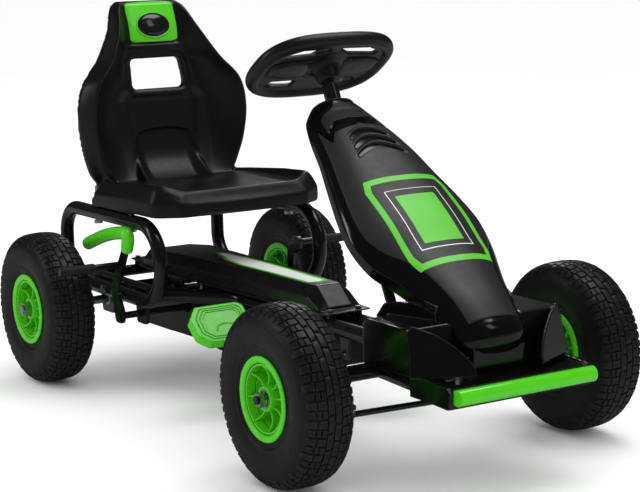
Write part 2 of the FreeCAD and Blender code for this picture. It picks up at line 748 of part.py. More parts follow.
def guard_screw(x, y):
    return fuse("guard_screw", [cylinder("screw_shank", "dims.screw_radius", 32, (x, y, 150)),
                                hexagon("screw_head", 8, 4, (x, y, 179.2))])


def chain_guard_lower():
    outer = plate("case_outer", "XZ", 0, "2 * dims.case_half", CASE_OUTER, CASE_OUTER_RADII)
    tools = [plate("case_inner", "XZ", 0, "2 * (dims.case_half - dims.guard_skin)",
                   CASE_INNER, CASE_INNER_RADII)]
    for name, radius, x, z in CASE_WAYS:
        tools.append(crosswise("case_%s_way" % name, radius, 120, x, 0, z))
        tools.append(box("case_%s_slot" % name, about(x, radius), (-60, 60), (z, 150)))
    return cut("chain_guard_lower_cut", outer, fuse("case_tools", tools))


add("chain_guard_upper", chain_guard_upper())
add("chain_guard_lower", chain_guard_lower())
add("guard_screws", group("guard_screws_group", [
    guard_screw(x, side * y) for side, _ in SIDES for x, y in GUARD_SCREWS]))


# ---------------------------------------------------------------- bushes in the frame
def flanged_bush(name, radius, length, flange_radius, flange_y, bore, x, y):
    """Bush across the kart at axle height, with a 3 mm flange at one end."""
    solid = fuse(name + "_raw", [
        crosswise(name + "_sleeve", radius, length, x, y, AXLE_Z),
        crosswise(name + "_flange", flange_radius, 3, x, flange_y, AXLE_Z)])
    return cut(name, solid, crosswise(name + "_bore", bore, 60, x, y, AXLE_Z))


def column_bush(name, centre, below, above, bore_above):
    return cut("column_bush_" + name,
               column_rod("bush_outside", "dims.bush_radius", centre, below, above),
               column_rod("bush_inside", "dims.column_radius + dims.run_clear",
                          centre, BORE_BELOW, bore_above))


add("rear_axle_bushes", group("rear_axle_bushes_group", [
    flanged_bush("axle_bush", "dims.bush_radius + 1", AXLE_BUSH_LENGTH, 15, side * 114.5,
                 "dims.axle_radius + dims.run_clear", REAR_X, side * AXLE_BUSH_Y)
    for side, _ in SIDES]))
add("crank_bushes", group("crank_bushes_group", [
    flanged_bush("crank_bush", "dims.bush_radius", CRANK_BUSH_LENGTH, 14, side * 37.5,
                 "dims.crank_radius + dims.run_clear", CRANK_X, side * CRANK_BUSH_Y)
    for side, _ in SIDES]))
add("column_bushes", group("column_bushes_group",
                           [column_bush(*holder) for holder in COLUMN_HOLDERS]))


# ---------------------------------------------------------------- kingpins and knuckles
def kingpin(y):
    return fuse("kingpin", [
        cylinder("kingpin_shank", "dims.kingpin_radius", 66, (FRONT_X, y, 97)),
        hexagon("kingpin_head", 18, 7, (FRONT_X, y, 157.2)),
        hexagon("kingpin_nut", 18, 7, (FRONT_X, y, 95.8))])


def steering_knuckle(side, hand):
    y = side * KINGPIN_Y
    arm_z, arm_half_width = 110, 10
    arm_top = arm_z + ARM_THICK
    solid = fuse("knuckle_raw_" + hand, [
        cylinder("barrel", "dims.barrel_radius", 42, (FRONT_X, y, 109)),
        rod("stub", "dims.stub_radius", (FRONT_X, y, AXLE_Z), (FRONT_X, side * AXLE_END, AXLE_Z)),
        rod("stub_collar", 9, (FRONT_X, y, AXLE_Z), (FRONT_X, side * 220.6, AXLE_Z)),
        box("arm", (FRONT_X, ARM_PIN_X), about(y, arm_half_width), (arm_z, arm_top)),
        cylinder("arm_end", arm_half_width, "dims.arm_thick", (ARM_PIN_X, y, arm_z)),
        cylinder("arm_pin", "dims.pin_radius", 19, (ARM_PIN_X, y, 96)),
        cylinder("arm_pin_head", 7, 3, (ARM_PIN_X, y, arm_top))])
    bore = cylinder("barrel_bore", "dims.kingpin_radius + dims.run_clear", 60, (FRONT_X, y, 100))
    return cut("knuckle_" + hand, solid, bore)


add("kingpin_bolts", group("kingpin_bolts_group",
                           [kingpin(side * KINGPIN_Y) for side, _ in SIDES]))
for side, hand in SIDES:
    add("steering_knuckle_" + hand, steering_knuckle(side, hand))

# ---------------------------------------------------------------- steering column and wheel
# a quarter of the cross-shaped spoke plate, in the wheel's plane, from the +x spoke
# to the +y spoke; radii of its corners
SPOKE_QUARTER = [(111, 20), (40, 26), (24, 40), (28, 107)]
SPOKE_RADII = [0, 10, 10, 0] * 4
# x, y, half x, half y of the openings in the spokes
SPOKE_OPENINGS = [(72, 0, 22, 9), (-72, 0, 22, 9), (0, 72, 11, 22), (0, -72, 11, 22)]


def steering_column():
    z, half_width = dim("pitman_height"), 11
    return fuse("steering_column_weld", [
        rod("column_bar", "dims.column_radius", column_point(dim("column_low_height")),
            COLUMN_TOP - COLUMN_UP * 4),
        column_rod("column_sleeve", 12.5, COLUMN_TOP, 92, -34),
        box("pitman_plate", (PITMAN_ROOT_X - 12, PITMAN_X), (-half_width, half_width),
            (z, z + ARM_THICK)),
        cylinder("pitman_end", half_width, "dims.arm_thick", (PITMAN_X, 0, z)),
        cylinder("pitman_pin", "dims.pin_radius", 29, (PITMAN_X, 0, z - 13))])


def steering_wheel():
    """Wheel drawn flat about its hub, then tilted onto the column."""
    wheel = new_body("steering_wheel_body")
    spin(wheel, "ring_spin", "XZ", [circle(dim("wheel_ring"), 0, dim("wheel_section"))], "V_Axis")
    right_half = [(-x, y) for x, y in SPOKE_QUARTER]
    spokes = (right_half + SPOKE_QUARTER[::-1] + [(x, -y) for x, y in SPOKE_QUARTER]
              + [(-x, -y) for x, y in SPOKE_QUARTER[::-1]])
    pad(wheel, "spoke_pad", "XY", -3.5, rounded(spokes, SPOKE_RADII), 7)
    pad(wheel, "hub_pad", "XY", -34, [circle(0, 0, 17)], 42)
    pad(wheel, "hub_face_pad", "XY", -3.5, [circle(0, 0, 38)], 13)
    pocket(wheel, "bore_cut", "XY", -40, [circle(0, 0, dim("column_radius"))], 36, upward=True)
    for i, opening in enumerate(SPOKE_OPENINGS):
        pocket(wheel, "opening_cut_%d" % i, "XY", 0, rectangle(*opening, 5), 30)
    wheel.Placement = Placement(COLUMN_TOP, Rotation(Vector(0, 1, 0), -26.565))
    return wheel


def tie_rod(side, hand):
    """Rod from the pitman pin to the knuckle arm; the left one sits above the right."""
    inner = Vector(PITMAN_X, 0, PITMAN_MID_Z + (7.2 if side > 0 else -10.0))
    outer = Vector(ARM_PIN_X, side * KINGPIN_Y, 102.0)
    along = (outer - inner).normalize()
    solid = fuse("tie_raw_" + hand, [
        cylinder("rod_eye_out", 9, 5, (outer.x, outer.y, outer.z - 2.5)),
        cylinder("rod_eye_in", 12, 4, (inner.x, inner.y, inner.z - 2)),
        rod("rod_bar", 4.5, inner + along * 18, outer - along * 13),
        rod("rod_neck_in", 1.7, inner + along * 9.5, inner + along * 22),
        rod("rod_neck_out", 2.2, outer - along * 18, outer - along * 8)])
    bores = fuse("tie_bores_" + hand, [
        cylinder("bore_out", "dims.pin_radius + dims.run_clear", 40,
                 (outer.x, outer.y, outer.z - 20)),
        cylinder("bore_in", "dims.pin_radius + 2.9", 40, (inner.x, inner.y, inner.z - 20))])
    return cut("tie_cut_" + hand, solid, bores)


add("steering_column", steering_column())
add("steering_wheel", steering_wheel())
for side, hand in SIDES:
    add("tie_rod_" + hand, tie_rod(side, hand))

# ---------------------------------------------------------------- wheels
# Wheel sections are drawn as (distance along the axle, radius) about the wheel's middle.
RIM_RADIUS, BEAD_RADIUS, HUB_RADIUS = dim("rim_radius"), dim("bead_radius"), dim("hub_radius")
# end, x, shaft radius, nut width across flats
AXLES = (("front", FRONT_X, dim("stub_radius"), 19), ("rear", REAR_X, dim("axle_radius"), 22))
DRIVEN_WHEEL = "rear_right"


def mirrored(half):
    """Close a half section with its mirror image across the wheel's middle plane."""
    return half + [(-along, radius) for along, radius in reversed(half)]


def tyre(name):
    wide, tread, radius = dim("tyre_half_width"), dim("tread_half_width"), dim("tyre_radius")
    seat = BEAD_RADIUS + 0.3
    outside = [(34.4, seat), (34.4, 62), (39, 74), (wide, 92), (39.5, 108), (tread, 121),
               (22, radius - 1.5)]
    inside = [(27, seat), (27, 62), (33, 76), (34, 92), (32, 106), (20, 117)]
    section = ([(-along, r) for along, r in outside] + [(0, radius)] + outside[::-1]
               + inside + [(0, 119)] + [(-along, r) for along, r in inside[::-1]])
    body = new_body(name + "_body")
    spin(body, name + "_spin", "YZ", rounded(section), "H_Axis")
    return body


def rim(name):
    wide, bore = dim("rim_half_width"), dim("bearing_radius")
    bead_wall, web_half, well = 34.7, 2.5, BEAD_RADIUS - 3
    outside = [(wide, RIM_RADIUS), (bead_wall, RIM_RADIUS), (bead_wall, BEAD_RADIUS)]
    inside = [(-wide, well), (-web_half, well), (-web_half, HUB_RADIUS),
              (-HUB_HALF, HUB_RADIUS), (-HUB_HALF, bore)]
    body = new_body(name + "_body")
    spin(body, name + "_spin", "YZ", rounded(mirrored(outside) + mirrored(inside)), "H_Axis")
    rib_foot, rib_top = HUB_RADIUS - 1.5, BEAD_RADIUS - 2
    rib = pad(body, name + "_rib_pad", "YZ", 0,
              rounded([(1, rib_foot), (1, rib_top), (31, rib_top), (20, rib_foot)]),
              3.0, centred=True)
    repeat_round_y(body, name + "_ribs", rib, 8)
    angle = math.radians(22.5)
    valve = circle(31 * math.cos(angle), 31 * math.sin(angle), 6.5)
    pocket(body, name + "_valve_cut", "XZ", 0, [valve], 12)
    return body


def bearings(tag, x, side, shaft):
    """Two races in the hub; the driven wheel's grip both rim and axle."""
    driven = tag == DRIVEN_WHEEL
    width = dim("bearing_width")
    outside = "dims.bearing_radius" if driven else "dims.bearing_radius - 0.01"
    inside = shaft if driven else shaft + CLEAR
    races = []
    for end in (1, -1):
        y = side * WHEEL_Y + end * (HUB_HALF - width / 2)
        races.append(cut("bearing", crosswise("race", outside, width, x, y, AXLE_Z),
                         crosswise("race_bore", inside, width + 4, x, y, AXLE_Z)))
    return group("bearings_" + tag, races)


def axle_nut(tag, x, side, shaft, flats):
    hub_end = WHEEL_Y + HUB_HALF
    washer_y, nut_y, end_y = hub_end + 0.4, hub_end + 2.4, hub_end + 10.0

    def point(y):
        return (x, side * y, AXLE_Z)

    solid = fuse("nut_raw_" + tag, [
        rod("washer", flats / 2 + 1.5, point(washer_y), point(nut_y)),
        crosswise_hexagon("nut", flats, end_y - nut_y, x, side * (nut_y + end_y) / 2, AXLE_Z)])
    return cut("nut_" + tag, solid, rod("nut_bore", shaft, point(washer_y - 1), point(end_y + 1)))


nuts = {}
for end, x, shaft, flats in AXLES:
    for side, hand in SIDES:
        tag = end + "_" + hand
        wheel_frame = Placement(Vector(x, side * WHEEL_Y, AXLE_Z),
                                Rotation(Vector(*UP), 0 if side > 0 else 180))
        for kind, make in (("tyre_", tyre), ("rim_", rim)):
            piece = make(kind + tag)
            piece.Placement = wheel_frame
            add(kind + tag, piece)
        kind = "drive_hub_" if tag == DRIVEN_WHEEL else "wheel_bearings_"
        add(kind + tag, bearings(tag, x, side, shaft))
        nuts[tag] = axle_nut(tag, x, side, shaft, flats)
for side, hand in SIDES:
    add("axle_nut_front_" + hand, nuts["front_" + hand])
add("axle_nuts_rear", group("axle_nuts_rear_group", [nuts["rear_left"], nuts["rear_right"]]))
add("rear_axle", rod("rear_axle_bar", "dims.axle_radius",
                     (REAR_X, -AXLE_END, AXLE_Z), (REAR_X, AXLE_END, AXLE_Z)))

# ---------------------------------------------------------------- sprockets and chain
REAR_TEETH, FRONT_TEETH = int(dim("rear_teeth")), int(dim("front_teeth"))


def pitch_radius(teeth):
    return dim("chain_pitch") / 2 / math.sin(math.pi / teeth)


REAR_PITCH, FRONT_PITCH = pitch_radius(REAR_TEETH), pitch_radius(FRONT_TEETH)


def sprocket(name, teeth, x, bore, openings=0):
    pitch = pitch_radius(teeth)
    body = new_body(name + "_body")
    pad(body, name + "_pad", "XZ", 0, [circle(0, 0, pitch + 4.0), circle(0, 0, bore)],
        "2 * dims.sprocket_half", centred=True)
    root, tip = pitch - 4.3, pitch + 6
    gap = pocket(body, name + "_gap_cut", "XZ", 0,
                 rounded([(root, -4.25), (tip, -5.2), (tip, 5.2), (root, 4.25)],
                         [4.0, 0, 0, 4.0]), 12)
    repeat_round_y(body, name + "_teeth", gap, teeth)
    if openings:
        opening = pocket(body, name + "_light_cut", "XZ", 0, [circle(36, 0, 10)], 12)
        repeat_round_y(body, name + "_lights", opening, openings)
    pad(body, name + "_collar_pad", "XZ", 0, [circle(0, 0, bore + 5), circle(0, 0, bore)],
        18, centred=True)
    body.Placement = Placement(Vector(x, 0, AXLE_Z), Rotation())
    return body


def roller_points():
    """Roller centres (x, z): round the rear, forward below, round the front, back above."""
    def half_turn(x, radius, teeth, start):
        angles = [math.radians(start + i * 360.0 / teeth) for i in range(teeth // 2 + 1)]
        return [(x + radius * math.cos(angle), AXLE_Z + radius * math.sin(angle))
                for angle in angles]

    run_links = (int(dim("chain_links")) - REAR_TEETH // 2 - FRONT_TEETH // 2) // 2

    def run(start, end):
        fractions = [i / run_links for i in range(1, run_links)]
        return [(start[0] + (end[0] - start[0]) * part, start[1] + (end[1] - start[1]) * part)
                for part in fractions]

    rear = half_turn(REAR_X, REAR_PITCH, REAR_TEETH, 90)
    front = half_turn(CRANK_X, FRONT_PITCH, FRONT_TEETH, 270)
    return rear + run(rear[-1], front[0]) + front + run(front[-1], rear[0])


def belt(grow):
    """Closed belt outline round both sprockets, grow outside the pitch line."""
    slope = math.asin((FRONT_PITCH - REAR_PITCH) / (CRANK_X - REAR_X))
    above = Vector(-math.sin(slope), 0, math.cos(slope))
    below = Vector(-math.sin(slope), 0, -math.cos(slope))
    rear, front = Vector(REAR_X, 0, AXLE_Z), Vector(CRANK_X, 0, AXLE_Z)
    rear_radius, front_radius = REAR_PITCH + grow, FRONT_PITCH + grow
    rear_top, front_top = rear + above * rear_radius, front + above * front_radius
    front_low, rear_low = front + below * front_radius, rear + below * rear_radius
    edges = [
        Part.LineSegment(rear_top, front_top),
        Part.Arc(front_top, front + Vector(front_radius, 0, 0), front_low),
        Part.LineSegment(front_low, rear_low),
        Part.Arc(rear_low, rear - Vector(rear_radius, 0, 0), rear_top),
    ]
    return Part.Face(Part.Wire([edge.toShape() for edge in edges]))


def plate_band(y):
    """Side plates of the chain as one band, 1 mm thick from y."""
    half_height = 4.4
    face = belt(half_height).cut(belt(-half_height))
    band = face.extrude(Vector(0, 1.0, 0)).Solids[0]
    band.translate(Vector(0, y, 0))
    return band


def drive_chain():
    rollers = [Part.makeCylinder(3.6, 7.0, Vector(x, -3.5, z), Vector(*ALONG_Y))
               for x, z in roller_points()]
    chain = doc.addObject("Part::Feature", "chain_shape")
    chain.Shape = plate_band(-3.9).fuse([plate_band(2.9)] + rollers)
    return chain


add("axle_sprocket", sprocket("axle_sprocket", REAR_TEETH, REAR_X, dim("axle_radius")))
add("chainring", sprocket("chainring", FRONT_TEETH, CRANK_X, dim("crank_radius"), 5))
add("drive_chain", drive_chain())

# ---------------------------------------------------------------- crank and pedals
CRANK_ANGLE = math.radians(171.4)  # of the right arm, from +X towards +Z
PEDAL_TILT = 38.0


def crank_end(side):
    return (CRANK_X - side * CRANK_ARM * math.cos(CRANK_ANGLE),
            AXLE_Z - side * CRANK_ARM * math.sin(CRANK_ANGLE))


def crankshaft():
    arm_y, arm_thick, arm_half = 62, 8, 9
    shaft_end = arm_y + arm_thick / 2
    parts = [rod("crank_bar", "dims.crank_radius",
                 (CRANK_X, -shaft_end, AXLE_Z), (CRANK_X, shaft_end, AXLE_Z))]
    for side, _ in SIDES:
        x, z = crank_end(side)
        y = side * arm_y
        angle = math.degrees(math.atan2(z - AXLE_Z, x - CRANK_X))
        arm = box("crank_arm_bar", (0, CRANK_ARM), (0, arm_thick), (-arm_half, arm_half))
        arm.Placement = Placement(Vector(CRANK_X, y - arm_thick / 2, AXLE_Z),
                                  Rotation(Vector(0, 1, 0), -angle))
        # the box's low corner stays arm_half below the crank line after the turn
        arm.Placement = arm.Placement * Placement(Vector(0, 0, 0), Rotation())
        parts += [
            arm,
            crosswise("crank_eye", 13, arm_thick, CRANK_X, y, AXLE_Z),
            crosswise("pedal_eye", arm_half, arm_thick, x, y, z),
            rod("pedal_pin", "dims.pedal_pin_radius", (x, side * 60, z), (x, side * 168, z)),
            rod("pedal_pin_cap", 7.5, (x, side * 165.5, z), (x, side * 169, z)),
            rod("pedal_pin_shoulder", 8, (x, side * 60, z), (x, side * 73.8, z)),
        ]
    return fuse("crankshaft_weld", parts)


def pedal_outline(inset, radius):
    half, slant = dim("pedal_width") / 2, inset * 0.4
    front, back = 36 - inset, -37 + inset
    return rounded([
        (-30 + inset, -half + inset), (22 - slant, -half + inset), (front, -28 + slant),
        (front, 28 - slant), (22 - slant, half - inset), (-30 + inset, half - inset),
        (back, 34 - slant), (back, -34 + slant)], radius)


def pedal(side, hand):
    """Block with two steps sunk into its top, turning on the pedal pin."""
    half_thick = dim("pedal_thick") / 2
    body = new_body("pedal_body_" + hand)
    pad(body, "pedal_pad_" + hand, "XY", -half_thick, pedal_outline(0, 5), "dims.pedal_thick")
    for i, (inset, depth) in enumerate(((6, 2.0), (12, 4.0))):
        pocket(body, "pedal_step_cut_%d_%s" % (i, hand), "XY", half_thick - depth,
               pedal_outline(inset, 3), 12, upward=True)
    pad(body, "pedal_tube_pad_" + hand, "XZ", 0, [circle(0, 0, 9)], 90, centred=True)
    pocket(body, "pedal_bore_cut_" + hand, "XZ", 0,
           [circle(0, 0, dim("pedal_pin_radius") + CLEAR)], 120)
    x, z = crank_end(side)
    body.Placement = Placement(Vector(x, side * dim("pedal_offset"), z),
                               Rotation(Vector(0, 1, 0), PEDAL_TILT))
    return body


add("crankshaft", crankshaft())
for side, hand in SIDES:
    add("pedal_" + hand, pedal(side, hand))

# ---------------------------------------------------------------- hand brake
# x, z corners and corner radii of the lever (right) and of the arm on the left
LEVER_OUTLINE = [(BRAKE_X - 13, BRAKE_Z - 12), (BRAKE_X + 13, BRAKE_Z - 12),
                 (BRAKE_X + 13, BRAKE_Z + 12), (-319, 166), (-296, 205), (-272, 246),
                 (-290, 246), (-318, 206), (-340, 170)]
LEVER_RADII = [8, 8, 8, 10, 20, 1, 1, 20, 12]
FAR_ARM_OUTLINE = [(BRAKE_X - 13, BRAKE_Z - 12), (BRAKE_X + 13, BRAKE_Z - 12),
                   (BRAKE_X + 13, BRAKE_Z + 14), (-322, 168), (-318, 192), (-296, 204),
                   (-296, 224), (-320, 224), (-340, 196), (-340, 160)]
FAR_ARM_RADII = [8, 8, 8, 14, 14, 8, 8, 8, 24, 20]
GRIP_PATH = [(-433, 232), (-392, 240), (-345, 263), (-284, 273), (-280.5, 248.2)]
GRIP_RADII = [0, 40, 40, 14, 0]


def brake_lever():
    radius, thick = "dims.brake_shaft_radius", "2 * dims.lever_half"
    shaft_end, bar_end = LEVER_Y + 4, 288
    parts = [rod("brake_shaft", radius,
                 (BRAKE_X, -shaft_end, BRAKE_Z), (BRAKE_X, shaft_end, BRAKE_Z))]
    for side, hand in reversed(SIDES):
        parts.append(rod("bar_inner_" + hand, radius, (BRAKE_BAR_X, side * LEVER_Y, BRAKE_BAR_Z),
                         (BRAKE_BAR_X, side * bar_end, BRAKE_BAR_Z)))
    parts.append(plate("lever_plate", "XZ", -LEVER_Y, thick, LEVER_OUTLINE, LEVER_RADII))
    parts.append(plate("far_arm_plate", "XZ", LEVER_Y, thick, FAR_ARM_OUTLINE, FAR_ARM_RADII))
    return fuse("brake_lever_weld", parts)


def brake_pad(y):
    return cut("brake_pad",
               crosswise("pad_sleeve", "dims.brake_pad_radius", 60, BRAKE_BAR_X, y, BRAKE_BAR_Z),
               crosswise("pad_bore", "dims.brake_shaft_radius", 70, BRAKE_BAR_X, y, BRAKE_BAR_Z))


add("brake_lever", brake_lever())
add("brake_pads", group("brake_pads_group", [brake_pad(side * 256) for side, _ in SIDES]))
add("brake_grip", tube("grip_bar", "dims.grip_radius", upright_frame(-LEVER_Y),
                       GRIP_PATH, GRIP_RADII))

# ---------------------------------------------------------------- export
doc.recompute()
bad = [(obj.Name, sorted(obj.State)) for obj in doc.Objects
       if "Invalid" in obj.State or "Error" in obj.State]
os.makedirs("parts", exist_ok=True)
for label, obj in NODES:
    shape = obj.Shape
    if shape.isNull() or not shape.isValid() or not shape.Solids:
        bad.append((label, "shape"))
        continue
    shape.exportStep("parts/%s.step" % label)
if bad:
    raise SystemExit("bad: %r" % bad)
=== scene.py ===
"""Pedal go-kart: four treaded wheels, hood, bucket seat, steering wheel, pedals and chain guard.

+X is forward, +Y is left, +Z is up and the floor is at z = 0. Shapes are written in millimetres
in the kart's frame and scaled by MM when a mesh is made; each piece takes the place of a CAD node.
"""

import json
import math
from collections import namedtuple

import bmesh
import bpy
import numpy as np
from mathutils import Matrix, Vector


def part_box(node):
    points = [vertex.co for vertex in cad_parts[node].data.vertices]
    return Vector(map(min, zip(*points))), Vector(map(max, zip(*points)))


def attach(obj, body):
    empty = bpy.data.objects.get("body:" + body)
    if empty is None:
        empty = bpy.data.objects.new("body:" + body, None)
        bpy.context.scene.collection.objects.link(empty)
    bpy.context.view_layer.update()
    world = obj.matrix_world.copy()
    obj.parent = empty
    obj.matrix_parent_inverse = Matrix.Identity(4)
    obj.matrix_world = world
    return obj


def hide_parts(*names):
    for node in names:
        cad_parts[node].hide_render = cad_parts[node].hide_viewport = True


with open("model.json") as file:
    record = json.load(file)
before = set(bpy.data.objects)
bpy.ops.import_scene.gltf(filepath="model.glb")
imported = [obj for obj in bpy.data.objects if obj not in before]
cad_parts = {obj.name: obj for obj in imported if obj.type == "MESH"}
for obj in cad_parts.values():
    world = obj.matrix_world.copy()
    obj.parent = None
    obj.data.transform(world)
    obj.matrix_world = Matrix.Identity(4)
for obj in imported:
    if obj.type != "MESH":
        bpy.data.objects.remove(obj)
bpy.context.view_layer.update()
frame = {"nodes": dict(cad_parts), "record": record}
NODES = frame["nodes"]
MM = 0.001
OUTSIDE = -9.0  # mask value well outside a marked area
INSIDE = 9.0  # mask value well inside it
scene = bpy.context.scene


# ------------------------------------------------------------------ materials
class Shader:
    """A material with a Principled surface; the methods add nodes and return their outputs."""

    def __init__(self, name):
        self.material = bpy.data.materials.new(name)
        self.material.use_nodes = True
        self.tree = self.material.node_tree
        self.tree.nodes.clear()
        output = self.node("OutputMaterial")
        self.surface = self.node("BsdfPrincipled")
        self.feed(output.inputs[0], self.surface.outputs[0])

    def feed(self, socket, value):
        """Links a node output to the socket, or sets it to a number or colour."""
        if isinstance(value, bpy.types.NodeSocket):
            self.tree.links.new(value, socket)
        elif isinstance(value, tuple):
            socket.default_value = (*value, 1.0)
        else:
            socket.default_value = value

    def node(self, kind, inputs=None, **settings):
        made = self.tree.nodes.new("ShaderNode" + kind)
        for key, value in settings.items():
            setattr(made, key, value)
        for key, value in (inputs or {}).items():
            self.feed(made.inputs[key], value)
        return made

    def set_surface(self, **inputs):
        """Feeds surface inputs; an underscore stands for a space in the input's name."""
        for key, value in inputs.items():
            self.feed(self.surface.inputs[key.replace("_", " ")], value)

    def object_coordinates(self):
        return self.node("TexCoord").outputs["Object"]

    def noise(self, coordinates, scale, detail, roughness):
        inputs = {"Scale": scale, "Detail": detail, "Roughness": roughness, "Vector": coordinates}
        return self.node("TexNoise", inputs).outputs["Fac"]

    def ramp(self, value, low, high, to_low=0.0, to_high=1.0):
        inputs = {"From Min": low, "From Max": high, "To Min": to_low, "To Max": to_high,
                  "Value": value}
        return self.node("MapRange", inputs).outputs["Result"]

    def mix_color(self, factor, a, b):
        return self.node("Mix", {0: factor, 6: a, 7: b}, data_type="RGBA").outputs[2]

    def mix_value(self, factor, a, b):
        return self.node("Mix", {0: factor, 2: a, 3: b}).outputs[0]

    def math(self, operation, a, b):
        return self.node("Math", {0: a, 1: b}, operation=operation).outputs[0]

    def attribute(self, name):
        return self.node("Attribute", attribute_name=name).outputs["Fac"]


# A finish laid over the base where the mesh attribute is above zero.
Mask = namedtuple("Mask", "attribute color roughness coat")


def finish(name, color, roughness, roughness_spread=0.12, metallic=0.0, coat=0.0, grain=900.0,
           bump=0.06, mottle=0.12, edge_wear_and_highlight=0.35, edge_wear_and_highlight_color=None, bevel=0.0, specular=0.5, masks=()):
    """Cloudy colour change, fine grain bump, uneven roughness and lighter edges, partly wear and
    partly a painted highlight.

    grain is the scale of the fine noise, mottle the colour change either way, the edge wear
    setting the strength of the lighter edges (worn edges, and a painted highlight where small
    rounded edges catch the light) and bevel the radius in metres of the edges rounded in the
    shading.
    """
    s = Shader(name)
    place = s.object_coordinates()
    cloud = s.noise(place, scale=9.0, detail=4.0, roughness=0.6)
    fine = s.noise(place, scale=grain, detail=2.0, roughness=0.6)
    medium = s.noise(place, scale=85.0, detail=4.0, roughness=0.65)

    dark = tuple(c * (1.0 - mottle) for c in color)
    light = tuple(min(1.0, c * (1.0 + mottle) + 0.0005) for c in color)
    base = s.mix_color(s.ramp(cloud, low=0.3, high=0.7), dark, light)
    speckle = s.ramp(fine, low=0.35, high=0.75, to_high=0.25)
    base = s.mix_color(speckle, base, tuple(c * 0.8 for c in color))

    # painted highlight: edges found by pointiness are lightened, partly for wear and partly for
    # light caught on small rounded edges
    edge = s.ramp(s.node("NewGeometry").outputs["Pointiness"], low=0.515, high=0.60)
    scuff_and_edge_highlight = s.math("MULTIPLY", edge, s.ramp(medium, low=0.35, high=0.7, to_low=0.15))
    worn_or_lit_edge_color = edge_wear_and_highlight_color or tuple(min(1.0, c * 1.6 + 0.022) for c in color)
    base = s.mix_color(s.math("MULTIPLY", scuff_and_edge_highlight, edge_wear_and_highlight), base, worn_or_lit_edge_color)
    uneven = s.ramp(medium, low=0.25, high=0.75,
                    to_low=-roughness_spread / 2, to_high=roughness_spread / 2)
    roughness = s.math("ADD", uneven, roughness)

    for mask in masks:
        factor = s.ramp(s.attribute(mask.attribute), low=-0.15, high=0.15)
        tint = s.mix_color(s.ramp(cloud, low=0.3, high=0.7),
                           tuple(c * 0.93 for c in mask.color), mask.color)
        base = s.mix_color(factor, base, tint)
        roughness = s.mix_value(factor, roughness, mask.roughness)
        coat = s.mix_value(factor, coat, mask.coat)
    s.set_surface(Base_Color=base, Roughness=roughness, Metallic=metallic,
                  Specular_IOR_Level=specular, Coat_Weight=coat, Coat_Roughness=0.06)

    relief = s.node("Bump", {"Strength": bump, "Distance": 0.0006,
                             "Height": s.mix_value(0.35, fine, medium)})
    if bevel:
        soft = s.node("Bevel", {"Radius": bevel}, samples=6)
        s.feed(relief.inputs["Normal"], soft.outputs[0])
    s.set_surface(Normal=relief.outputs[0])
    return s.material


GREEN = (0.066, 0.52, 0.006)
WORN_GREEN = (0.14, 0.66, 0.05)
SATIN_BLACK = (0.0045, 0.0045, 0.0048)

FINISHES = {
    "paint": finish("black_powder_coat", (0.0035, 0.0035, 0.0038), roughness=0.22, coat=0.35,
                    grain=700, bump=0.10, edge_wear_and_highlight=0.25, bevel=0.0009),
    "satin": finish("satin_black_plastic", SATIN_BLACK, roughness=0.36, grain=1500, bump=0.08,
                    specular=0.42),
    "satin_cad": finish("satin_black_plastic_b", SATIN_BLACK, roughness=0.34, grain=1500,
                        bump=0.08, specular=0.42, bevel=0.0015),
    # gloss black: its strong light edge colour is a painted highlight of light caught on rounded
    # edges
    "gloss": finish("gloss_black_plastic", (0.0022, 0.0022, 0.0025), roughness=0.17,
                    roughness_spread=0.05, coat=0.3, grain=300, bump=0.012, edge_wear_and_highlight=0.9,
                    edge_wear_and_highlight_color=(0.05, 0.05, 0.052)),
    "green": finish("green_plastic", GREEN, roughness=0.27, roughness_spread=0.08, coat=0.25,
                    grain=1100, bump=0.03, mottle=0.04, edge_wear_and_highlight=0.10, edge_wear_and_highlight_color=WORN_GREEN,
                    bevel=0.0008),
    "green_paint": finish("green_gloss_paint", GREEN, roughness=0.16, roughness_spread=0.05,
                          coat=0.8, grain=220, bump=0.04, mottle=0.03, edge_wear_and_highlight=0.12,
                          edge_wear_and_highlight_color=WORN_GREEN, bevel=0.0008),
    "rubber": finish("black_rubber", (0.008, 0.008, 0.008), roughness=0.6, grain=800, bump=0.25,
                     edge_wear_and_highlight=0.3, specular=0.35),
    # tyre: the lighter block edges are partly wear and partly a painted highlight on the block
    # corners
    "tyre": finish("tyre_rubber", (0.0052, 0.0052, 0.0054), roughness=0.42,
                   roughness_spread=0.18, grain=650, bump=0.22, mottle=0.2,
                   edge_wear_and_highlight_color=(0.05, 0.05, 0.048), specular=0.38),
    "grip": finish("matt_black_grip", SATIN_BLACK, roughness=0.34, grain=1300, bump=0.2,
                   edge_wear_and_highlight=0.2),
    "zinc": finish("zinc_plate", (0.58, 0.59, 0.60), roughness=0.26, roughness_spread=0.2,
                   metallic=1.0, grain=420, bump=0.08, edge_wear_and_highlight=0.3, edge_wear_and_highlight_color=(0.8, 0.8, 0.8),
                   bevel=0.0005),
    "chain": finish("oiled_steel", (0.16, 0.155, 0.15), roughness=0.36, roughness_spread=0.25,
                    metallic=1.0, grain=500, bump=0.1, mottle=0.3, edge_wear_and_highlight=0.5,
                    edge_wear_and_highlight_color=(0.5, 0.5, 0.5), bevel=0.0004),
    "nylon": finish("nylon_bush", (0.62, 0.62, 0.58), roughness=0.45, mottle=0.06, edge_wear_and_highlight=0.1,
                    bevel=0.0005),
    "dark_bush": finish("dark_bush", (0.02, 0.02, 0.02), roughness=0.45, bevel=0.0005),
}

SLOT_FINISH = {
    "frame_paint": "paint", "shell_satin": "satin_cad", "shell_gloss": "gloss",
    "green_plastic": "green", "green_paint": "green_paint", "tyre_rubber": "tyre",
    "grip_rubber": "rubber", "zinc": "zinc", "chain_steel": "chain", "bush_nylon": "nylon",
    "wheel_grip": "grip",
}
node_slot = {part["node"]: part["material_slot"] for part in frame["record"]["subparts"]}
for node_name, node_object in NODES.items():
    node_object.data.materials.clear()
    node_object.data.materials.append(FINISHES[SLOT_FINISH[node_slot[node_name]]])


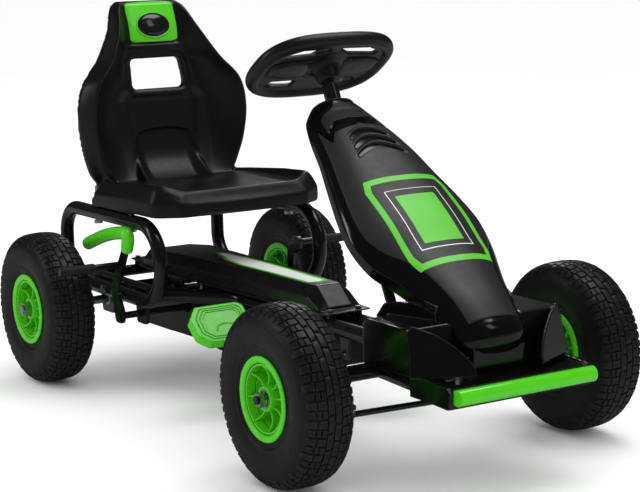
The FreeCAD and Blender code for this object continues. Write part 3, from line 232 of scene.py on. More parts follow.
# ------------------------------------------------------------------ curves and outlines
def spline(position, points):
    """Smooth curve through the points, read at positions counted in points."""
    points = np.asarray(points, float)
    position = np.clip(np.asarray(position, float), 0, len(points) - 1 - 1e-9)
    i = np.floor(position).astype(int)
    f = (position - i)[..., None]
    p0, p1, p2, p3 = (points[np.clip(i + k, 0, len(points) - 1)] for k in (-1, 0, 1, 2))
    m1, m2 = (p2 - p0) / 2, (p3 - p1) / 2
    return ((2 * f**3 - 3 * f**2 + 1) * p1 + (f**3 - 2 * f**2 + f) * m1
            + (-2 * f**3 + 3 * f**2) * p2 + (f**3 - f**2) * m2)


def lengths(points):
    """Distance travelled along the points."""
    return np.r_[0, np.cumsum(np.linalg.norm(np.diff(points, axis=0), axis=1))]


def interp_columns(at, known, table):
    return np.stack([np.interp(at, known, table[:, k]) for k in range(table.shape[1])], -1)


def even(points, count):
    """Points evenly spaced along the smooth curve through the given ones."""
    dense = spline(np.linspace(0, len(points) - 1, 40 * len(points)), points)
    travelled = lengths(dense)
    return interp_columns(np.linspace(0, travelled[-1], count), travelled, dense)


def resample(loop, count):
    """Points evenly spaced round a closed outline."""
    closed = np.vstack([loop, loop[:1]])
    travelled = lengths(closed)
    at = np.linspace(0, travelled[-1], count, endpoint=False)
    return interp_columns(at, travelled, closed)


def unit(vectors):
    return vectors / np.linalg.norm(vectors, axis=-1)[..., None]


def step(x, start, end):
    """Smooth rise from 0 at start to 1 at end."""
    f = np.clip((np.asarray(x, float) - start) / (end - start), 0, 1)
    return f * f * (3 - 2 * f)


def ridge(distance, width):
    """Bell-shaped rise, 1 at distance 0."""
    return np.exp(-((distance / width) ** 2))


def lowest(*fields):
    return np.minimum.reduce(fields)


def rounded(points, radii, segments=6):
    """Closed outline with rounded corners; radii is one number or one for each point."""
    count = len(points)
    if isinstance(radii, (int, float)):
        radii = [radii] * count
    outline = []
    for k in range(count):
        corner, before, after = (np.array(points[i % count], float) for i in (k, k - 1, k + 1))
        length_in, length_out = np.linalg.norm(before - corner), np.linalg.norm(after - corner)
        back, ahead = (before - corner) / length_in, (after - corner) / length_out
        angle = math.acos(max(-1, min(1, float(back @ ahead))))
        if radii[k] <= 0 or angle > math.pi - 0.02:
            outline.append(corner)
            continue
        cut = min(radii[k] / math.tan(angle / 2), 0.49 * length_in, 0.49 * length_out)
        start, end = corner + back * cut, corner + ahead * cut
        for f in np.linspace(0, 1, segments):
            outline.append((1 - f) ** 2 * start + 2 * f * (1 - f) * corner + f * f * end)
    return np.array(outline)


def turn_about_y(angle):
    c, s = math.cos(angle), math.sin(angle)
    return np.array([[c, 0, s], [0, 1, 0], [-s, 0, c]])


# ------------------------------------------------------------------ faces and solids
def grid_faces(rows, columns, offset=0, wrap_rows=False, wrap_columns=False):
    faces = []
    for i in range(rows if wrap_rows else rows - 1):
        here = offset + i * columns
        there = offset + (i + 1) % rows * columns
        for j in range(columns if wrap_columns else columns - 1):
            k = (j + 1) % columns
            faces.append((here + j, here + k, there + k, there + j))
    return faces


def capped_faces(rows, columns):
    """Faces of a stack of closed rings, with both ends closed."""
    return grid_faces(rows, columns, wrap_columns=True) + [
        tuple(range(columns))[::-1], tuple(range((rows - 1) * columns, rows * columns))]


def shell_faces(rows, columns):
    """Faces of two equal grids, one skin after the other, joined round the border."""
    skin = rows * columns
    faces = grid_faces(rows, columns)
    faces += [face[::-1] for face in grid_faces(rows, columns, skin)]
    for i in range(rows - 1):
        first, following = i * columns, (i + 1) * columns
        faces.append((first, following, following + skin, first + skin))
        last, following = following - 1, following + columns - 1
        faces.append((last, last + skin, following + skin, following))
    for j in range(columns - 1):
        faces.append((j, j + skin, j + 1 + skin, j + 1))
        k = (rows - 1) * columns + j
        faces.append((k, k + 1, k + 1 + skin, k + skin))
    return faces


def lathe(profile, segments):
    """Ring of revolution about Y of a closed (y, radius) outline."""
    rings = []
    for k in range(segments):
        a = 2 * math.pi * k / segments
        y, r = profile[:, 0], profile[:, 1]
        rings.append(np.stack([r * math.cos(a), y, r * math.sin(a)], -1))
    faces = grid_faces(segments, len(profile), wrap_rows=True, wrap_columns=True)
    return np.array(rings).reshape(-1, 3), faces


def sweep(path, radii, segments):
    """Round capped tube along a path, with a radius for each point."""
    path = np.asarray(path, float)
    tangents = unit(np.gradient(path, axis=0))
    reference = [0.0, 0, 1.0] if abs(tangents[0][2]) < 0.9 else [1.0, 0, 0]
    normal = np.cross(tangents[0], reference)
    verts = []
    for point, tangent, radius in zip(path, tangents, radii):
        normal = unit(normal - (normal @ tangent) * tangent)
        binormal = np.cross(tangent, normal)
        for k in range(segments):
            a = 2 * math.pi * k / segments
            verts.append(point + radius * (normal * math.cos(a) + binormal * math.sin(a)))
    return np.array(verts), capped_faces(len(path), segments)


def solid_box(x0, x1, y0, y1, z0, z1):
    verts = [(x, y, z) for x in (x0, x1) for y in (y0, y1) for z in (z0, z1)]
    return verts, [(0, 1, 3, 2), (4, 6, 7, 5), (0, 4, 5, 1), (2, 3, 7, 6), (0, 2, 6, 4),
                   (1, 5, 7, 3)]


def merge(parts):
    """One (vertices, faces) pair from many."""
    verts, faces, offset = [], [], 0
    for part_verts, part_faces in parts:
        verts.append(np.asarray(part_verts, float))
        faces += [tuple(i + offset for i in face) for face in part_faces]
        offset += len(part_verts)
    return np.vstack(verts), faces


# ------------------------------------------------------------------ objects
def make_mesh(name, verts, faces):
    """Mesh from vertices in millimetres, its faces turned outwards."""
    mesh = bpy.data.meshes.new(name)
    mesh.from_pydata((np.asarray(verts, float) * MM).tolist(), [], faces)
    bm = bmesh.new()
    bm.from_mesh(mesh)
    bmesh.ops.recalc_face_normals(bm, faces=bm.faces)
    bm.to_mesh(mesh)
    bm.free()
    return mesh


def link_object(name, data):
    made = bpy.data.objects.new(name, data)
    scene.collection.objects.link(made)
    return made


def add_attribute(mesh, name, values):
    attribute = mesh.attributes.new(name, "FLOAT", "POINT")
    attribute.data.foreach_set("value", np.asarray(values, np.float32))


def shade(mesh, sharp_angle):
    mesh.polygons.foreach_set("use_smooth", [True] * len(mesh.polygons))
    mesh.set_sharp_from_angle(angle=math.radians(sharp_angle))
    mesh.update()


def register(piece, material, body, node):
    """Gives the piece its material; it rides on the body and stands for the CAD node."""
    piece.data.materials.clear()
    piece.data.materials.append(material)
    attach(piece, body)
    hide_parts(node)


def add_piece(name, verts, faces, material, body, node, sharp_angle, attributes=None):
    mesh = make_mesh(name, verts, faces)
    for key, values in (attributes or {}).items():
        add_attribute(mesh, key, values)
    shade(mesh, sharp_angle)
    register(link_object(name, mesh), material, body, node)


def bake(target, modifiers):
    """Applies (kind, settings) modifiers to the mesh."""
    for kind, settings in modifiers:
        modifier = target.modifiers.new(kind, kind)
        for key, value in settings.items():
            setattr(modifier, key, value)
    bpy.context.view_layer.update()
    depsgraph = bpy.context.evaluated_depsgraph_get()
    mesh = bpy.data.meshes.new_from_object(target.evaluated_get(depsgraph))
    target.modifiers.clear()
    old = target.data
    target.data = mesh
    bpy.data.meshes.remove(old)


def moulding_from_cad(name, node, material, voxel, smoothing, extra=()):
    """Copy of a chassis shell's CAD mesh with the soft edges of a moulded part.

    voxel is in millimetres; extra holds (vertices, faces) solids fused into the copy.
    """
    mesh = NODES[node].data.copy()
    mesh.materials.clear()
    bm = bmesh.new()
    bm.from_mesh(mesh)
    bmesh.ops.remove_doubles(bm, verts=bm.verts, dist=1e-6)
    for verts, faces in extra:
        added = [bm.verts.new(Vector(p) * MM) for p in verts]
        for face in faces:
            bm.faces.new([added[i] for i in face])
    bm.to_mesh(mesh)
    bm.free()
    piece = link_object(name, mesh)
    bake(piece, [("REMESH", dict(mode="VOXEL", voxel_size=voxel * MM, use_smooth_shade=True)),
                 ("SMOOTH", dict(factor=0.5, iterations=smoothing))])
    shade(piece.data, 50.0)
    register(piece, material, "chassis", node)
    return piece


def centre(node):
    low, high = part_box(node)
    return np.array((low + high) / 2) / MM


# ------------------------------------------------------------------ tyres
WHEEL_BODY = {"front_left": "front_wheel_left", "front_right": "front_wheel_right",
              "rear_left": "rear_wheel_left", "rear_right": "rear_axle"}

# Outside of the casing from crown to bead: y, radius.
CASING = [(0, 126.9), (10, 126.6), (19, 125.6), (27, 123.4), (33, 119.6), (37, 113.5),
          (39.4, 106), (40.4, 98), (40.4, 90), (39.4, 82), (37.6, 74.5), (35.6, 68), (34.5, 63.2)]
# Inside of the casing from bead to bead: y, radius.
TYRE_INNER = [(34.3, 61.5), (34.3, 54), (34.0, 47.2), (28, 47.2), (27, 55), (28, 64), (33, 76),
              (34.5, 92), (31.5, 106), (20, 117), (0, 119.5), (-20, 117), (-31.5, 106),
              (-34.5, 92), (-33, 76), (-28, 64), (-27, 55), (-28, 47.2), (-34.0, 47.2),
              (-34.3, 54), (-34.3, 61.5)]
# Raised rings on each sidewall: radius, height, width.
SIDEWALL_RINGS = [(106.5, 0.55, 0.9), (102.5, 0.55, 0.9), (71, 0.9, 1.4)]
TREAD_PITCHES = 31
# Reach of the shoulder blocks from the crown, on even and odd pitches.
SHOULDER_REACH = (40.0, 43.5)

casing = even(CASING, 70)
casing_arc = lengths(casing)
casing_tangent = unit(np.gradient(casing, axis=0))


def tread_rows(reach):
    """Blocks of one pitch on one side, each an inner and an outer edge.

    An edge is: start, end (pitches), distance from the crown, block height (mm).
    """
    return [
        ((0.03, 0.91, 0.9, 2.8), (0.11, 0.99, 10.0, 2.8)),
        ((0.28, 0.70, 12.0, 2.8), (0.25, 0.67, 24.0, 2.7)),
        ((0.79, 1.19, 12.0, 2.8), (0.77, 1.17, 18.6, 2.7)),
        ((0.76, 1.16, 20.2, 2.8), (0.74, 1.14, 26.2, 2.6)),
        ((0.24, 0.66, 26.0, 2.7), (0.28, 0.62, reach, 1.2)),
        ((0.74, 1.14, 28.2, 2.7), (0.78, 1.10, 36.5, 1.8)),
    ]


def casing_point(distance, height):
    """(y, radius) at a signed arc distance from the crown, raised off the casing."""
    arc = abs(distance)
    y, r = (np.interp(arc, casing_arc, casing[:, k]) for k in (0, 1))
    ty, tr = (np.interp(arc, casing_arc, casing_tangent[:, k]) for k in (0, 1))
    return np.sign(distance) * (y - height * tr), r + height * ty


def block_fractions(count, edge):
    """Grid lines across a block, doubled at the borders for the foot and the edge."""
    middle = np.linspace(edge, 1 - edge, count + 1)[1:-1]
    return np.r_[0, 0, edge, middle, 1 - edge, 1, 1]


def tread_block(start, side, inner, outer):
    """One block on a side (+1 or -1) of the crown, its pitch beginning at start."""
    along, across = block_fractions(4, 0.055), block_fractions(3, 0.075)
    rows, columns = len(along), len(across)
    verts = []
    for i, a in enumerate(along):
        for j, b in enumerate(across):
            edges = [(start + (1 - a) * first + a * last, side * distance, height)
                     for first, last, distance, height in (inner, outer)]
            turn, distance, height = ((1 - b) * p + b * q for p, q in zip(*edges))
            ring = min(i, rows - 1 - i, j, columns - 1 - j)
            height = {0: -1.0, 1: height - 0.75}.get(ring, height)
            y, r = casing_point(distance, height)
            angle = turn * 2 * math.pi / TREAD_PITCHES
            verts.append((r * math.cos(angle), y, r * math.sin(angle)))
    border = [i * columns for i in range(rows)]
    border += [(rows - 1) * columns + j for j in range(1, columns)]
    border += [i * columns + columns - 1 for i in range(rows - 2, -1, -1)]
    border += range(columns - 2, 0, -1)
    return verts, grid_faces(rows, columns) + [tuple(border[::-1])]


def tyre_mesh():
    outer = np.vstack([casing[::-1] * [-1, 1], casing[1:]])
    y, r = outer[:, 0], outer[:, 1]
    raised = sum(height * ridge(r - ring, width) for ring, height, width in SIDEWALL_RINGS)
    outer = np.stack([y + np.copysign(raised, y), r], -1)
    parts = [lathe(np.vstack([outer, even(TYRE_INNER, 60)]), 144)]
    for k in range(TREAD_PITCHES):
        for side, shift in ((1, 0.0), (-1, 0.5)):
            for inner_edge, outer_edge in tread_rows(SHOULDER_REACH[k % 2]):
                parts.append(tread_block(k + shift, side, inner_edge, outer_edge))
    return merge(parts)


tyre_verts, tyre_faces = tyre_mesh()
for index, (corner, body) in enumerate(WHEEL_BODY.items()):
    turn = turn_about_y(0.07 * index + 0.03)  # each tyre stands at its own angle
    if "right" in corner:
        turn = turn @ np.diag([-1.0, -1.0, 1.0])
    node = "tyre_" + corner
    add_piece("tread_" + node, tyre_verts @ turn.T + centre(node), tyre_faces,
              FINISHES["tyre"], body, node, 40.0)

# ------------------------------------------------------------------ rims
# Section of one half from flange to hub: distance from the middle plane, radius.
RIM_HALF = [(34.2, 59.2), (34.8, 60.2), (36.2, 60.4), (37.6, 59.4), (38.0, 57.5), (37.9, 54.0),
            (37.2, 51.8), (35.6, 50.4), (31, 49.0), (20, 46.6), (10, 44.6), (6.5, 43.0),
            (4.6, 40.0), (3.6, 34), (3.4, 26), (4.2, 21.5), (7.0, 19.4), (14, 18.6),
            (24, 18.2), (32.0, 17.9), (33.2, 17.2), (33.4, 16.0), (33.2, 14.2)]
RIM_SEAT_HALF, RIM_SEAT_RADIUS = 34.2, 46.4
# Free edge of a rib: radius, distance from the middle plane.
RIB_EDGE = [(17.6, 27.5), (22, 24.5), (30, 23.5), (38, 25.5), (45.0, 31.0), (48.4, 33.5)]
RIB_COUNT = 8
RIB_HALF_THICKNESS = 1.5


def rim_section():
    halves = [[(side * y, r) for y, r in RIM_HALF] for side in (1, -1)]
    ends = [(side * RIM_SEAT_HALF, RIM_SEAT_RADIUS) for side in (-1, 1)]
    return np.array(halves[0] + halves[1][::-1] + ends)


def rib(angle, side):
    """Thin plate from the hub to the bead wall, with a tapered free edge."""
    c, s = math.cos(angle), math.sin(angle)
    stations = even(RIB_EDGE, 16)
    verts = []
    for r, top in stations:
        for y, half in ((2.0, RIB_HALF_THICKNESS), (top - 0.9, RIB_HALF_THICKNESS),
                        (top, RIB_HALF_THICKNESS * 0.45)):
            for offset in (half, -half):
                verts.append((r * c - offset * s, side * y, r * s + offset * c))
    ring = [0, 2, 4, 5, 3, 1]
    last = len(stations) - 1
    faces = []
    for i in range(last):
        for p, q in zip(ring, ring[1:] + ring[:1]):
            faces.append((i * 6 + p, i * 6 + q, (i + 1) * 6 + q, (i + 1) * 6 + p))
    faces.append(tuple(ring))
    faces.append(tuple(last * 6 + k for k in ring[::-1]))
    return verts, faces


rim_verts, rim_faces = merge(
    [lathe(rim_section(), 120)]
    + [rib(2 * math.pi * k / RIB_COUNT + 0.12, side) for k in range(RIB_COUNT)
       for side in (1, -1)])
for corner, body in WHEEL_BODY.items():
    node = "rim_" + corner
    add_piece("rim_moulding_" + corner, rim_verts + centre(node), rim_faces,
              FINISHES["green"], body, node, 38.0)

# ------------------------------------------------------------------ hood
# Stations 0 to 12 from the head down to the nose: x, half width, z.
HOOD = np.array([(100, 36, 500), (112, 52, 486), (124, 60, 474), (151, 70, 456), (199, 84, 424),
                 (238, 96, 392), (282, 109, 357), (321, 115, 326), (357, 108, 298),
                 (391, 92, 280), (425, 77, 260), (459, 66, 238), (488, 59, 214)], float)
HOOD_END = 12
HOOD_WALL = 2.8
HOOD_VENTS = [(3.31, 0.47), (3.63, 0.50), (3.94, 0.52)]  # station at the crown, reach across
DECAL_STATION = 7.1

hood_stations = np.linspace(0, HOOD_END, 1201)
hood_lengths = lengths(spline(hood_stations, HOOD)[:, [0, 2]])


def hood_point(along, across, lift=0.0):
    """Point on the hood, raised by lift.

    along is the station, and 12 to 13 rolls under the nose; across is 0 at the crown, 1 at the
    edge and 2 at the foot of the skirt, negative on the right.
    """
    station = np.minimum(along, float(HOOD_END))
    centre_line = spline(station, HOOD)
    x, width, z = (centre_line[..., k] for k in range(3))
    ahead, behind = (spline(np.clip(station + d, 0, HOOD_END), HOOD) for d in (2e-3, -2e-3))
    tangent = unit((ahead - behind)[..., [0, 2]])
    tx, tz = tangent[..., 0], tangent[..., 1]
    nx, nz = -tz, tx

    past_end = np.clip(along - HOOD_END, 0, 1)
    narrowed = width * (1 - 0.05 * past_end**2)
    crown = 0.30 * width + 3
    skirt = 24 * (0.55 + 0.45 * station / HOOD_END)
    a = np.abs(across)
    b = np.clip(a, 0, 1)
    height = (crown + 6) * (1 - b**2.6) ** (1 / 1.35) - 6
    height = height - np.clip(a - 1, 0, 1) * (skirt - 6) + lift

    # the nose lip rolls about a line below the end section
    lip_depth = 40.0
    roll = past_end * math.radians(100)
    radius = np.maximum(height + lip_depth, 0.0) * 0.58
    axis = height - radius
    up, forward = axis + radius * np.cos(roll), radius * np.sin(roll)
    rolled = along > HOOD_END
    px = np.where(rolled, x + nx * up + tx * forward, x + nx * height)
    pz = np.where(rolled, z + nz * up + tz * forward, z + nz * height)
    return np.stack([px, np.sign(across) * narrowed * b, pz], -1)


def hood_window(along, side):
    """Fields above zero inside the angular window in the head and inside the patch in it."""
    bottom = np.interp(side, [0, 0.08, 0.63, 0.75, 0.9], [2.98, 3.08, 3.20, 3.54, 3.2])
    tip = np.interp(along, [0.2, 2.8, 3.2, 3.6], [0.9, 0.9, 0.84, 0.76])
    window = lowest((bottom - along) * 30, (tip - side) * 60, (along - 0.12) * 30)
    patch_bottom = np.interp(side, [0, 0.11, 0.52, 0.56, 0.73, 0.9],
                             [2.46, 2.48, 2.58, 2.75, 3.10, 3.1])
    patch_side = np.interp(along, [0.3, 0.9, 1.6, 2.2, 3.0, 3.4],
                           [0.26, 0.40, 0.66, 0.76, 0.75, 0.73])
    patch = lowest((patch_bottom - along) * 30, (patch_side - side) * 60, (along - 0.55) * 30)
    return window, patch


def hood_vents(along, across):
    """Lift of the three curved vents, and their mask."""
    lift = np.zeros_like(along)
    mask = np.full_like(along, OUTSIDE)
    for station, reach in HOOD_VENTS:
        distance = (along - station - 1.30 * across**2) * 57.0
        room = reach - np.abs(across)
        end = step(room, 0.0, 0.16)
        dip = step(distance, -0.6, 0.8) * (1 - step(distance, 6.0, 10.5))
        lift += (1.8 * ridge(distance + 2.6, 2.0) - 6.5 * dip) * end
        inside = lowest(distance - 0.1, 9.5 * end - distance, (end - 0.2) * 8)
        mask = np.maximum(mask, inside)
    return lift, mask


def hood_decal(along, y):
    """Masks of the panel: a six-sided outline round a filled field, and a thin white line."""
    start = np.interp(DECAL_STATION, hood_stations, hood_lengths)
    down = np.abs(np.interp(np.clip(along, 0, HOOD_END), hood_stations, hood_lengths) - start)
    out = np.abs(y * (1.0 + 0.0016 * np.abs(y)))
    inside = lowest(92 - down, (106 - out) * 0.9 - down * 0.36, 78 - out)
    outline = np.minimum(inside, 10.5 - inside)
    field = inside - 42.0
    white_line = np.minimum(0.9 - np.abs(inside - 30.0), inside)
    return np.maximum(outline, field), white_line


def hood_mesh():
    """Outer and inner skin, with the masks of the different finishes and of a painted highlight
    along the free edge.
    """
    along_lines = np.r_[np.linspace(0, 5, 230), np.linspace(5, 12, 190)[1:],
                        np.linspace(12, 13, 26)[1:]]
    across_lines = np.r_[np.linspace(-2, -1.02, 12), np.linspace(-1, 1, 171),
                         np.linspace(1.02, 2, 12)]
    along, across = np.meshgrid(along_lines, across_lines, indexing="ij")
    side = np.abs(across)

    # the satin top stands proud of the glossy border
    edge = 0.90 - 0.22 * step(along, 6.8, 9.8) + 0.04 * step(along, 10.6, 12)
    border = step(side, edge - 0.012, edge + 0.012)
    tail = step(along, 11.80, 11.90)
    gloss = np.maximum((side - edge) * 60, (along - 11.85) * 40)
    window, patch = hood_window(along, side)
    gloss = np.maximum(gloss, window)
    gloss = np.where(patch > -2, np.minimum(gloss, -patch), gloss)
    vent_lift, vents = hood_vents(along, across)
    gloss = np.maximum(gloss, vents)
    lift = (vent_lift - 1.3 * np.maximum(border, tail) - 2.0 * step(window, -0.8, 0.8)
            + 1.5 * step(patch, -0.6, 0.6))
    outer = hood_point(along, across, lift)
    decal, white = hood_decal(along, outer[..., 1])
    # painted highlight: a light grey band along the end of the nose lip and the foot of the skirt
    # stands in for light caught by the rounded free edge
    foot = np.minimum((side - 1.93) * 30, (along - 9.0) * 5)
    rim = np.maximum((along - 12.94) * 40, foot)

    inner = hood_point(np.minimum(along, 12.9), across, -HOOD_WALL)
    width = spline(np.minimum(along_lines, HOOD_END), HOOD)[:, 1]
    inner[..., 1] *= 1 - HOOD_WALL / np.maximum(width, 1)[:, None]
    verts = np.vstack([outer.reshape(-1, 3), inner.reshape(-1, 3)])
    masks = {}
    for name, values, inner_value in (("gloss", gloss, INSIDE), ("decal", decal, OUTSIDE),
                                      ("white", white, OUTSIDE), ("rim", rim, OUTSIDE)):
        masks[name] = np.r_[values.reshape(-1), np.full(values.size, inner_value)]
    return verts, shell_faces(*along.shape), masks


hood_verts, hood_faces, hood_masks = hood_mesh()
hood_finish = finish(
    "hood_plastic", (0.016, 0.016, 0.0158), roughness=0.40, grain=1500, bump=0.08, edge_wear_and_highlight=0.12,
    masks=(Mask("gloss", color=(0.002, 0.002, 0.0023), roughness=0.13, coat=0.25),
           Mask("decal", color=(0.085, 0.50, 0.018), roughness=0.36, coat=0.05),
           Mask("white", color=(0.7, 0.74, 0.7), roughness=0.3, coat=0.2),
           # painted highlight along the hood's free edge
           Mask("rim", color=(0.13, 0.13, 0.135), roughness=0.3, coat=0.1)))
add_piece("hood_shell", hood_verts, hood_faces, hood_finish, "chassis",
          "nose_hood", 42.0, hood_masks)

# ------------------------------------------------------------------ seat
# Back rest from bottom to top: x, half width, z.
SEAT_BACK = np.array([(-470, 133, 330), (-470, 148, 352), (-466, 162, 400), (-465, 167, 455),
                      (-467, 156, 505), (-478, 120, 548), (-494, 91, 595), (-514, 74, 632),
                      (-521, 60, 647)], float)
SEAT_WINDOW = dict(low_half=53, high_half=50, low=491, high=545, radius=11)
# Half of the pan's outline, on the right, from rear to front: x, y, corner radius.
PAN_OUTLINE = [(-492, -121, 24), (-430, -163, 26), (-300, -165, 40), (-207, -163, 26),
               (-181, -122, 6), (-178, -60, 30)]
PAN_FRONT = (-177, 0, 30)
PAN_CENTRE_X = -334.0
# Rings of the pan from the underside round the rim to the sitting surface: inset, z.
PAN_RINGS = [(150, 303), (90, 302), (30, 301), (7, 300.5), (2, 302), (0.4, 305), (0, 312),
             (0.2, 321), (1.2, 324), (3.5, 327), (8, 333.5), (13, 340.5), (16, 343.2),
             (19.5, 343.2), (22.5, 341), (25.5, 338.2), (30, 336), (42, 334.5), (70, 334),
             (110, 334), (150, 334)]

seat_line = spline(np.linspace(0, 8, 500), SEAT_BACK)


def seat_front(side, z, x, width):
    """Front face of the back rest: a middle panel between two bolsters that stand forward."""
    panel = np.interp(z, [320, 400, 470, 491, 543, 572, 605, 643],
                      [4, -2, -8, -15, -17, -6, 2, 8])
    crest = np.interp(z, [320, 352, 392, 446, 523, 560, 600, 625, 640, 647],
                      [8, 20, 29, 34, 35, 32, 26, 20, 14, 8])
    crest_y = width - 17 * np.minimum(1, width / 130)
    inner = np.interp(z, [330, 400, 470, 491, 543, 572, 643], [82, 92, 92, 78, 66, 53, 49.5])
    inner = np.minimum(inner, crest_y - 5)
    f = np.clip((side - inner) / (crest_y - inner), 0, 1)
    g = np.clip((side - crest_y) / np.maximum(width - crest_y, 1), 0, 1)
    return (x + panel + (crest - panel) * (0.35 * f + 0.65 * f**1.9)
            - (crest - 3) * (0.82 * g + 0.18 * g**3))


def inside_trapezium(y, z, low_half, high_half, low, high, radius):
    """Signed distance (above zero inside) to a rounded trapezium symmetric about y = 0."""
    half = low_half + (high_half - low_half) * (z - low) / (high - low)
    dy = np.abs(y) - (half - radius)
    dz = np.abs(z - (low + high) / 2) - ((high - low) / 2 - radius)
    outside = np.hypot(np.maximum(dy, 0), np.maximum(dz, 0))
    return radius - (outside + np.minimum(np.maximum(dy, dz), 0))


def seat_back_mesh():
    levels = np.r_[np.linspace(312, 330, 8)[:-1], np.linspace(330, 647, 183)]
    u = np.linspace(-1, 1, 181)
    u = np.sin(u * math.pi / 2) * 0.35 + u * 0.65
    line_x, line_width = (np.interp(levels, seat_line[:, 2], seat_line[:, k])[:, None]
                          for k in (0, 1))
    y = line_width * u[None, :]
    side = np.abs(y)
    z = np.broadcast_to(levels[:, None], y.shape)
    width = np.broadcast_to(line_width, y.shape)
    x = seat_front(side, z, line_x, width)
    rear = x - 15.5

    # soft lumbar recess
    recess = inside_trapezium(y, z, low_half=62, high_half=70, low=372, high=480, radius=14)
    x = x - 4.0 * step(recess, -1.5, 3.5) * step(z, 385, 425)
    # raised lip round the window
    x = x + 2.6 * ridge(inside_trapezium(y, z, **SEAT_WINDOW) + 6.0, 3.6)
    # sunk bed of the insert, and a lip below it
    bed = inside_trapezium(y, z, low_half=49.5, high_half=50.5, low=571, high=700, radius=8)
    x = x - 3.2 * step(bed, -0.8, 0.8) * (1 - step(z, 628, 636))
    x = x + 2.8 * ridge(z - 566.5, 3.0) * step(54 - side, -3, 3)
    # lower scoop between two swellings that run forward into the pan
    scoop_top = 421 - 7.5 * (y / 51) ** 2
    scoop_half = 51 + np.clip(414 - z, 0, 90) * 0.24
    scoop = np.minimum(scoop_half - side, scoop_top - z)
    swell = np.clip((428 - z) / 100, 0, 1)
    x = x + 36 * swell**1.9 * step(side, 40, 70) * (1 - step(side, width - 26, width - 8))
    x = x - 4.5 * step(scoop, -1.4, 1.4) * (1 - 0.2 * swell)
    x = x + 44 * np.clip((402 - z) / 70, 0, 1) ** 2.3 * step(scoop_half - side, -1.5, 2)
    x = x + 1.6 * ridge(z - scoop_top - 2.4, 2.2) * step(50 - side, -2, 4)
    # the two faces draw together at the top for a rounded crown
    pull = 5.5 * np.clip((z - 637) / 10, 0, 1) ** 2
    faces = [np.stack([face_x, y, z], -1).reshape(-1, 3) for face_x in (x - pull, rear + pull)]
    return np.vstack(faces), shell_faces(*y.shape)


def seat_pan_mesh():
    left_half = [(x, -y, radius) for x, y, radius in PAN_OUTLINE[::-1]]
    corners = PAN_OUTLINE + [PAN_FRONT] + left_half
    outline = rounded([c[:2] for c in corners], [c[2] for c in corners])
    outline = resample(outline, 300)
    rings = []
    for inset, level in PAN_RINGS:
        shrink = 1 - inset / 164.0
        x = PAN_CENTRE_X + (outline[:, 0] - PAN_CENTRE_X) * shrink
        y = outline[:, 1] * shrink
        side = np.abs(y)
        z = np.full(len(outline), float(level))
        if level > 315:
            # side rims climb towards the front corners
            blend = min(1.0, (level - 315) / 18.0)
            rise = np.interp(x, [-471, -426, -350, -300, -206], [-6, -2, 4, 8, 12])
            on_rim = 1 - step(inset, 20, 40)
            z += blend * rise * step(side, 104, 146) * (0.25 + 0.75 * on_rim)
            # shallow dish in the sitting surface
            dish = ridge(x + 300, 90) * (1 - np.minimum(1, side / 150) ** 2)
            z -= 2.0 * step(inset, 9, 24) * dish
            if inset < 14:
                # the front rim dips in the middle
                dip = step(x, -200, -182) * (1 - np.minimum(1, side / 120) ** 2)
                z -= 3.5 * blend * dip
        rings.append(np.stack([x, y, z], -1))
    return np.vstack(rings), capped_faces(len(PAN_RINGS), len(outline))


def window_cutter():
    """Prism along X through the back rest."""
    w = SEAT_WINDOW
    outline = rounded([(-w["low_half"], w["low"]), (w["low_half"], w["low"]),
                       (w["high_half"], w["high"]), (-w["high_half"], w["high"])],
                      w["radius"], 8)
    count = len(outline)
    verts = [(x, y, z) for x in (-560, -430) for y, z in outline]
    faces = [tuple(range(count))[::-1], tuple(range(count, 2 * count))]
    faces += grid_faces(2, count, wrap_columns=True)
    return link_object("window_cutter", make_mesh("window_cutter", verts, faces))


def add_seat():
    feet = [solid_box(-440, -290, side * 155 - 8, side * 155 + 8, 298.4, 312)
            for side in (1, -1)]
    verts, faces = merge([seat_back_mesh(), seat_pan_mesh()] + feet)
    seat = link_object("seat_moulding", make_mesh("seat_moulding", verts, faces))
    cutter = window_cutter()
    bake(seat, [("REMESH", dict(mode="VOXEL", voxel_size=2.1 * MM))])
    bake(seat, [("BOOLEAN", dict(object=cutter, operation="DIFFERENCE", solver="EXACT")),
                ("REMESH", dict(mode="VOXEL", voxel_size=1.9 * MM)),
                ("SMOOTH", dict(factor=0.5, iterations=4))])
    bpy.data.objects.remove(cutter)
    shade(seat.data, 60.0)
    register(seat, FINISHES["satin"], "chassis", "seat_shell")


add_seat()

# ------------------------------------------------------------------ seat insert
DOME_Z, DOME_HALF_WIDTH, DOME_HALF_HEIGHT = 603.0, 31.0, 20.5
# Rings of the dome from the foot to the top: share of the half sizes, height.
DOME_RINGS = [(1.10, -2.0), (1.10, 3.4), (1.05, 4.1), (1.0, 3.7), (0.965, 3.1), (0.95, 3.9),
              (0.86, 5.4), (0.7, 6.6), (0.45, 7.6), (0.2, 8.0), (0.02, 8.1)]
DOME_SEGMENTS = 72


def insert_x(z):
    """Surface line of the insert on the back rest."""
    line = np.interp(z, seat_line[:, 2], seat_line[:, 0])
    return line + np.interp(z, [543, 572, 605, 643], [-17, -6, 2, 8]) - 1.2


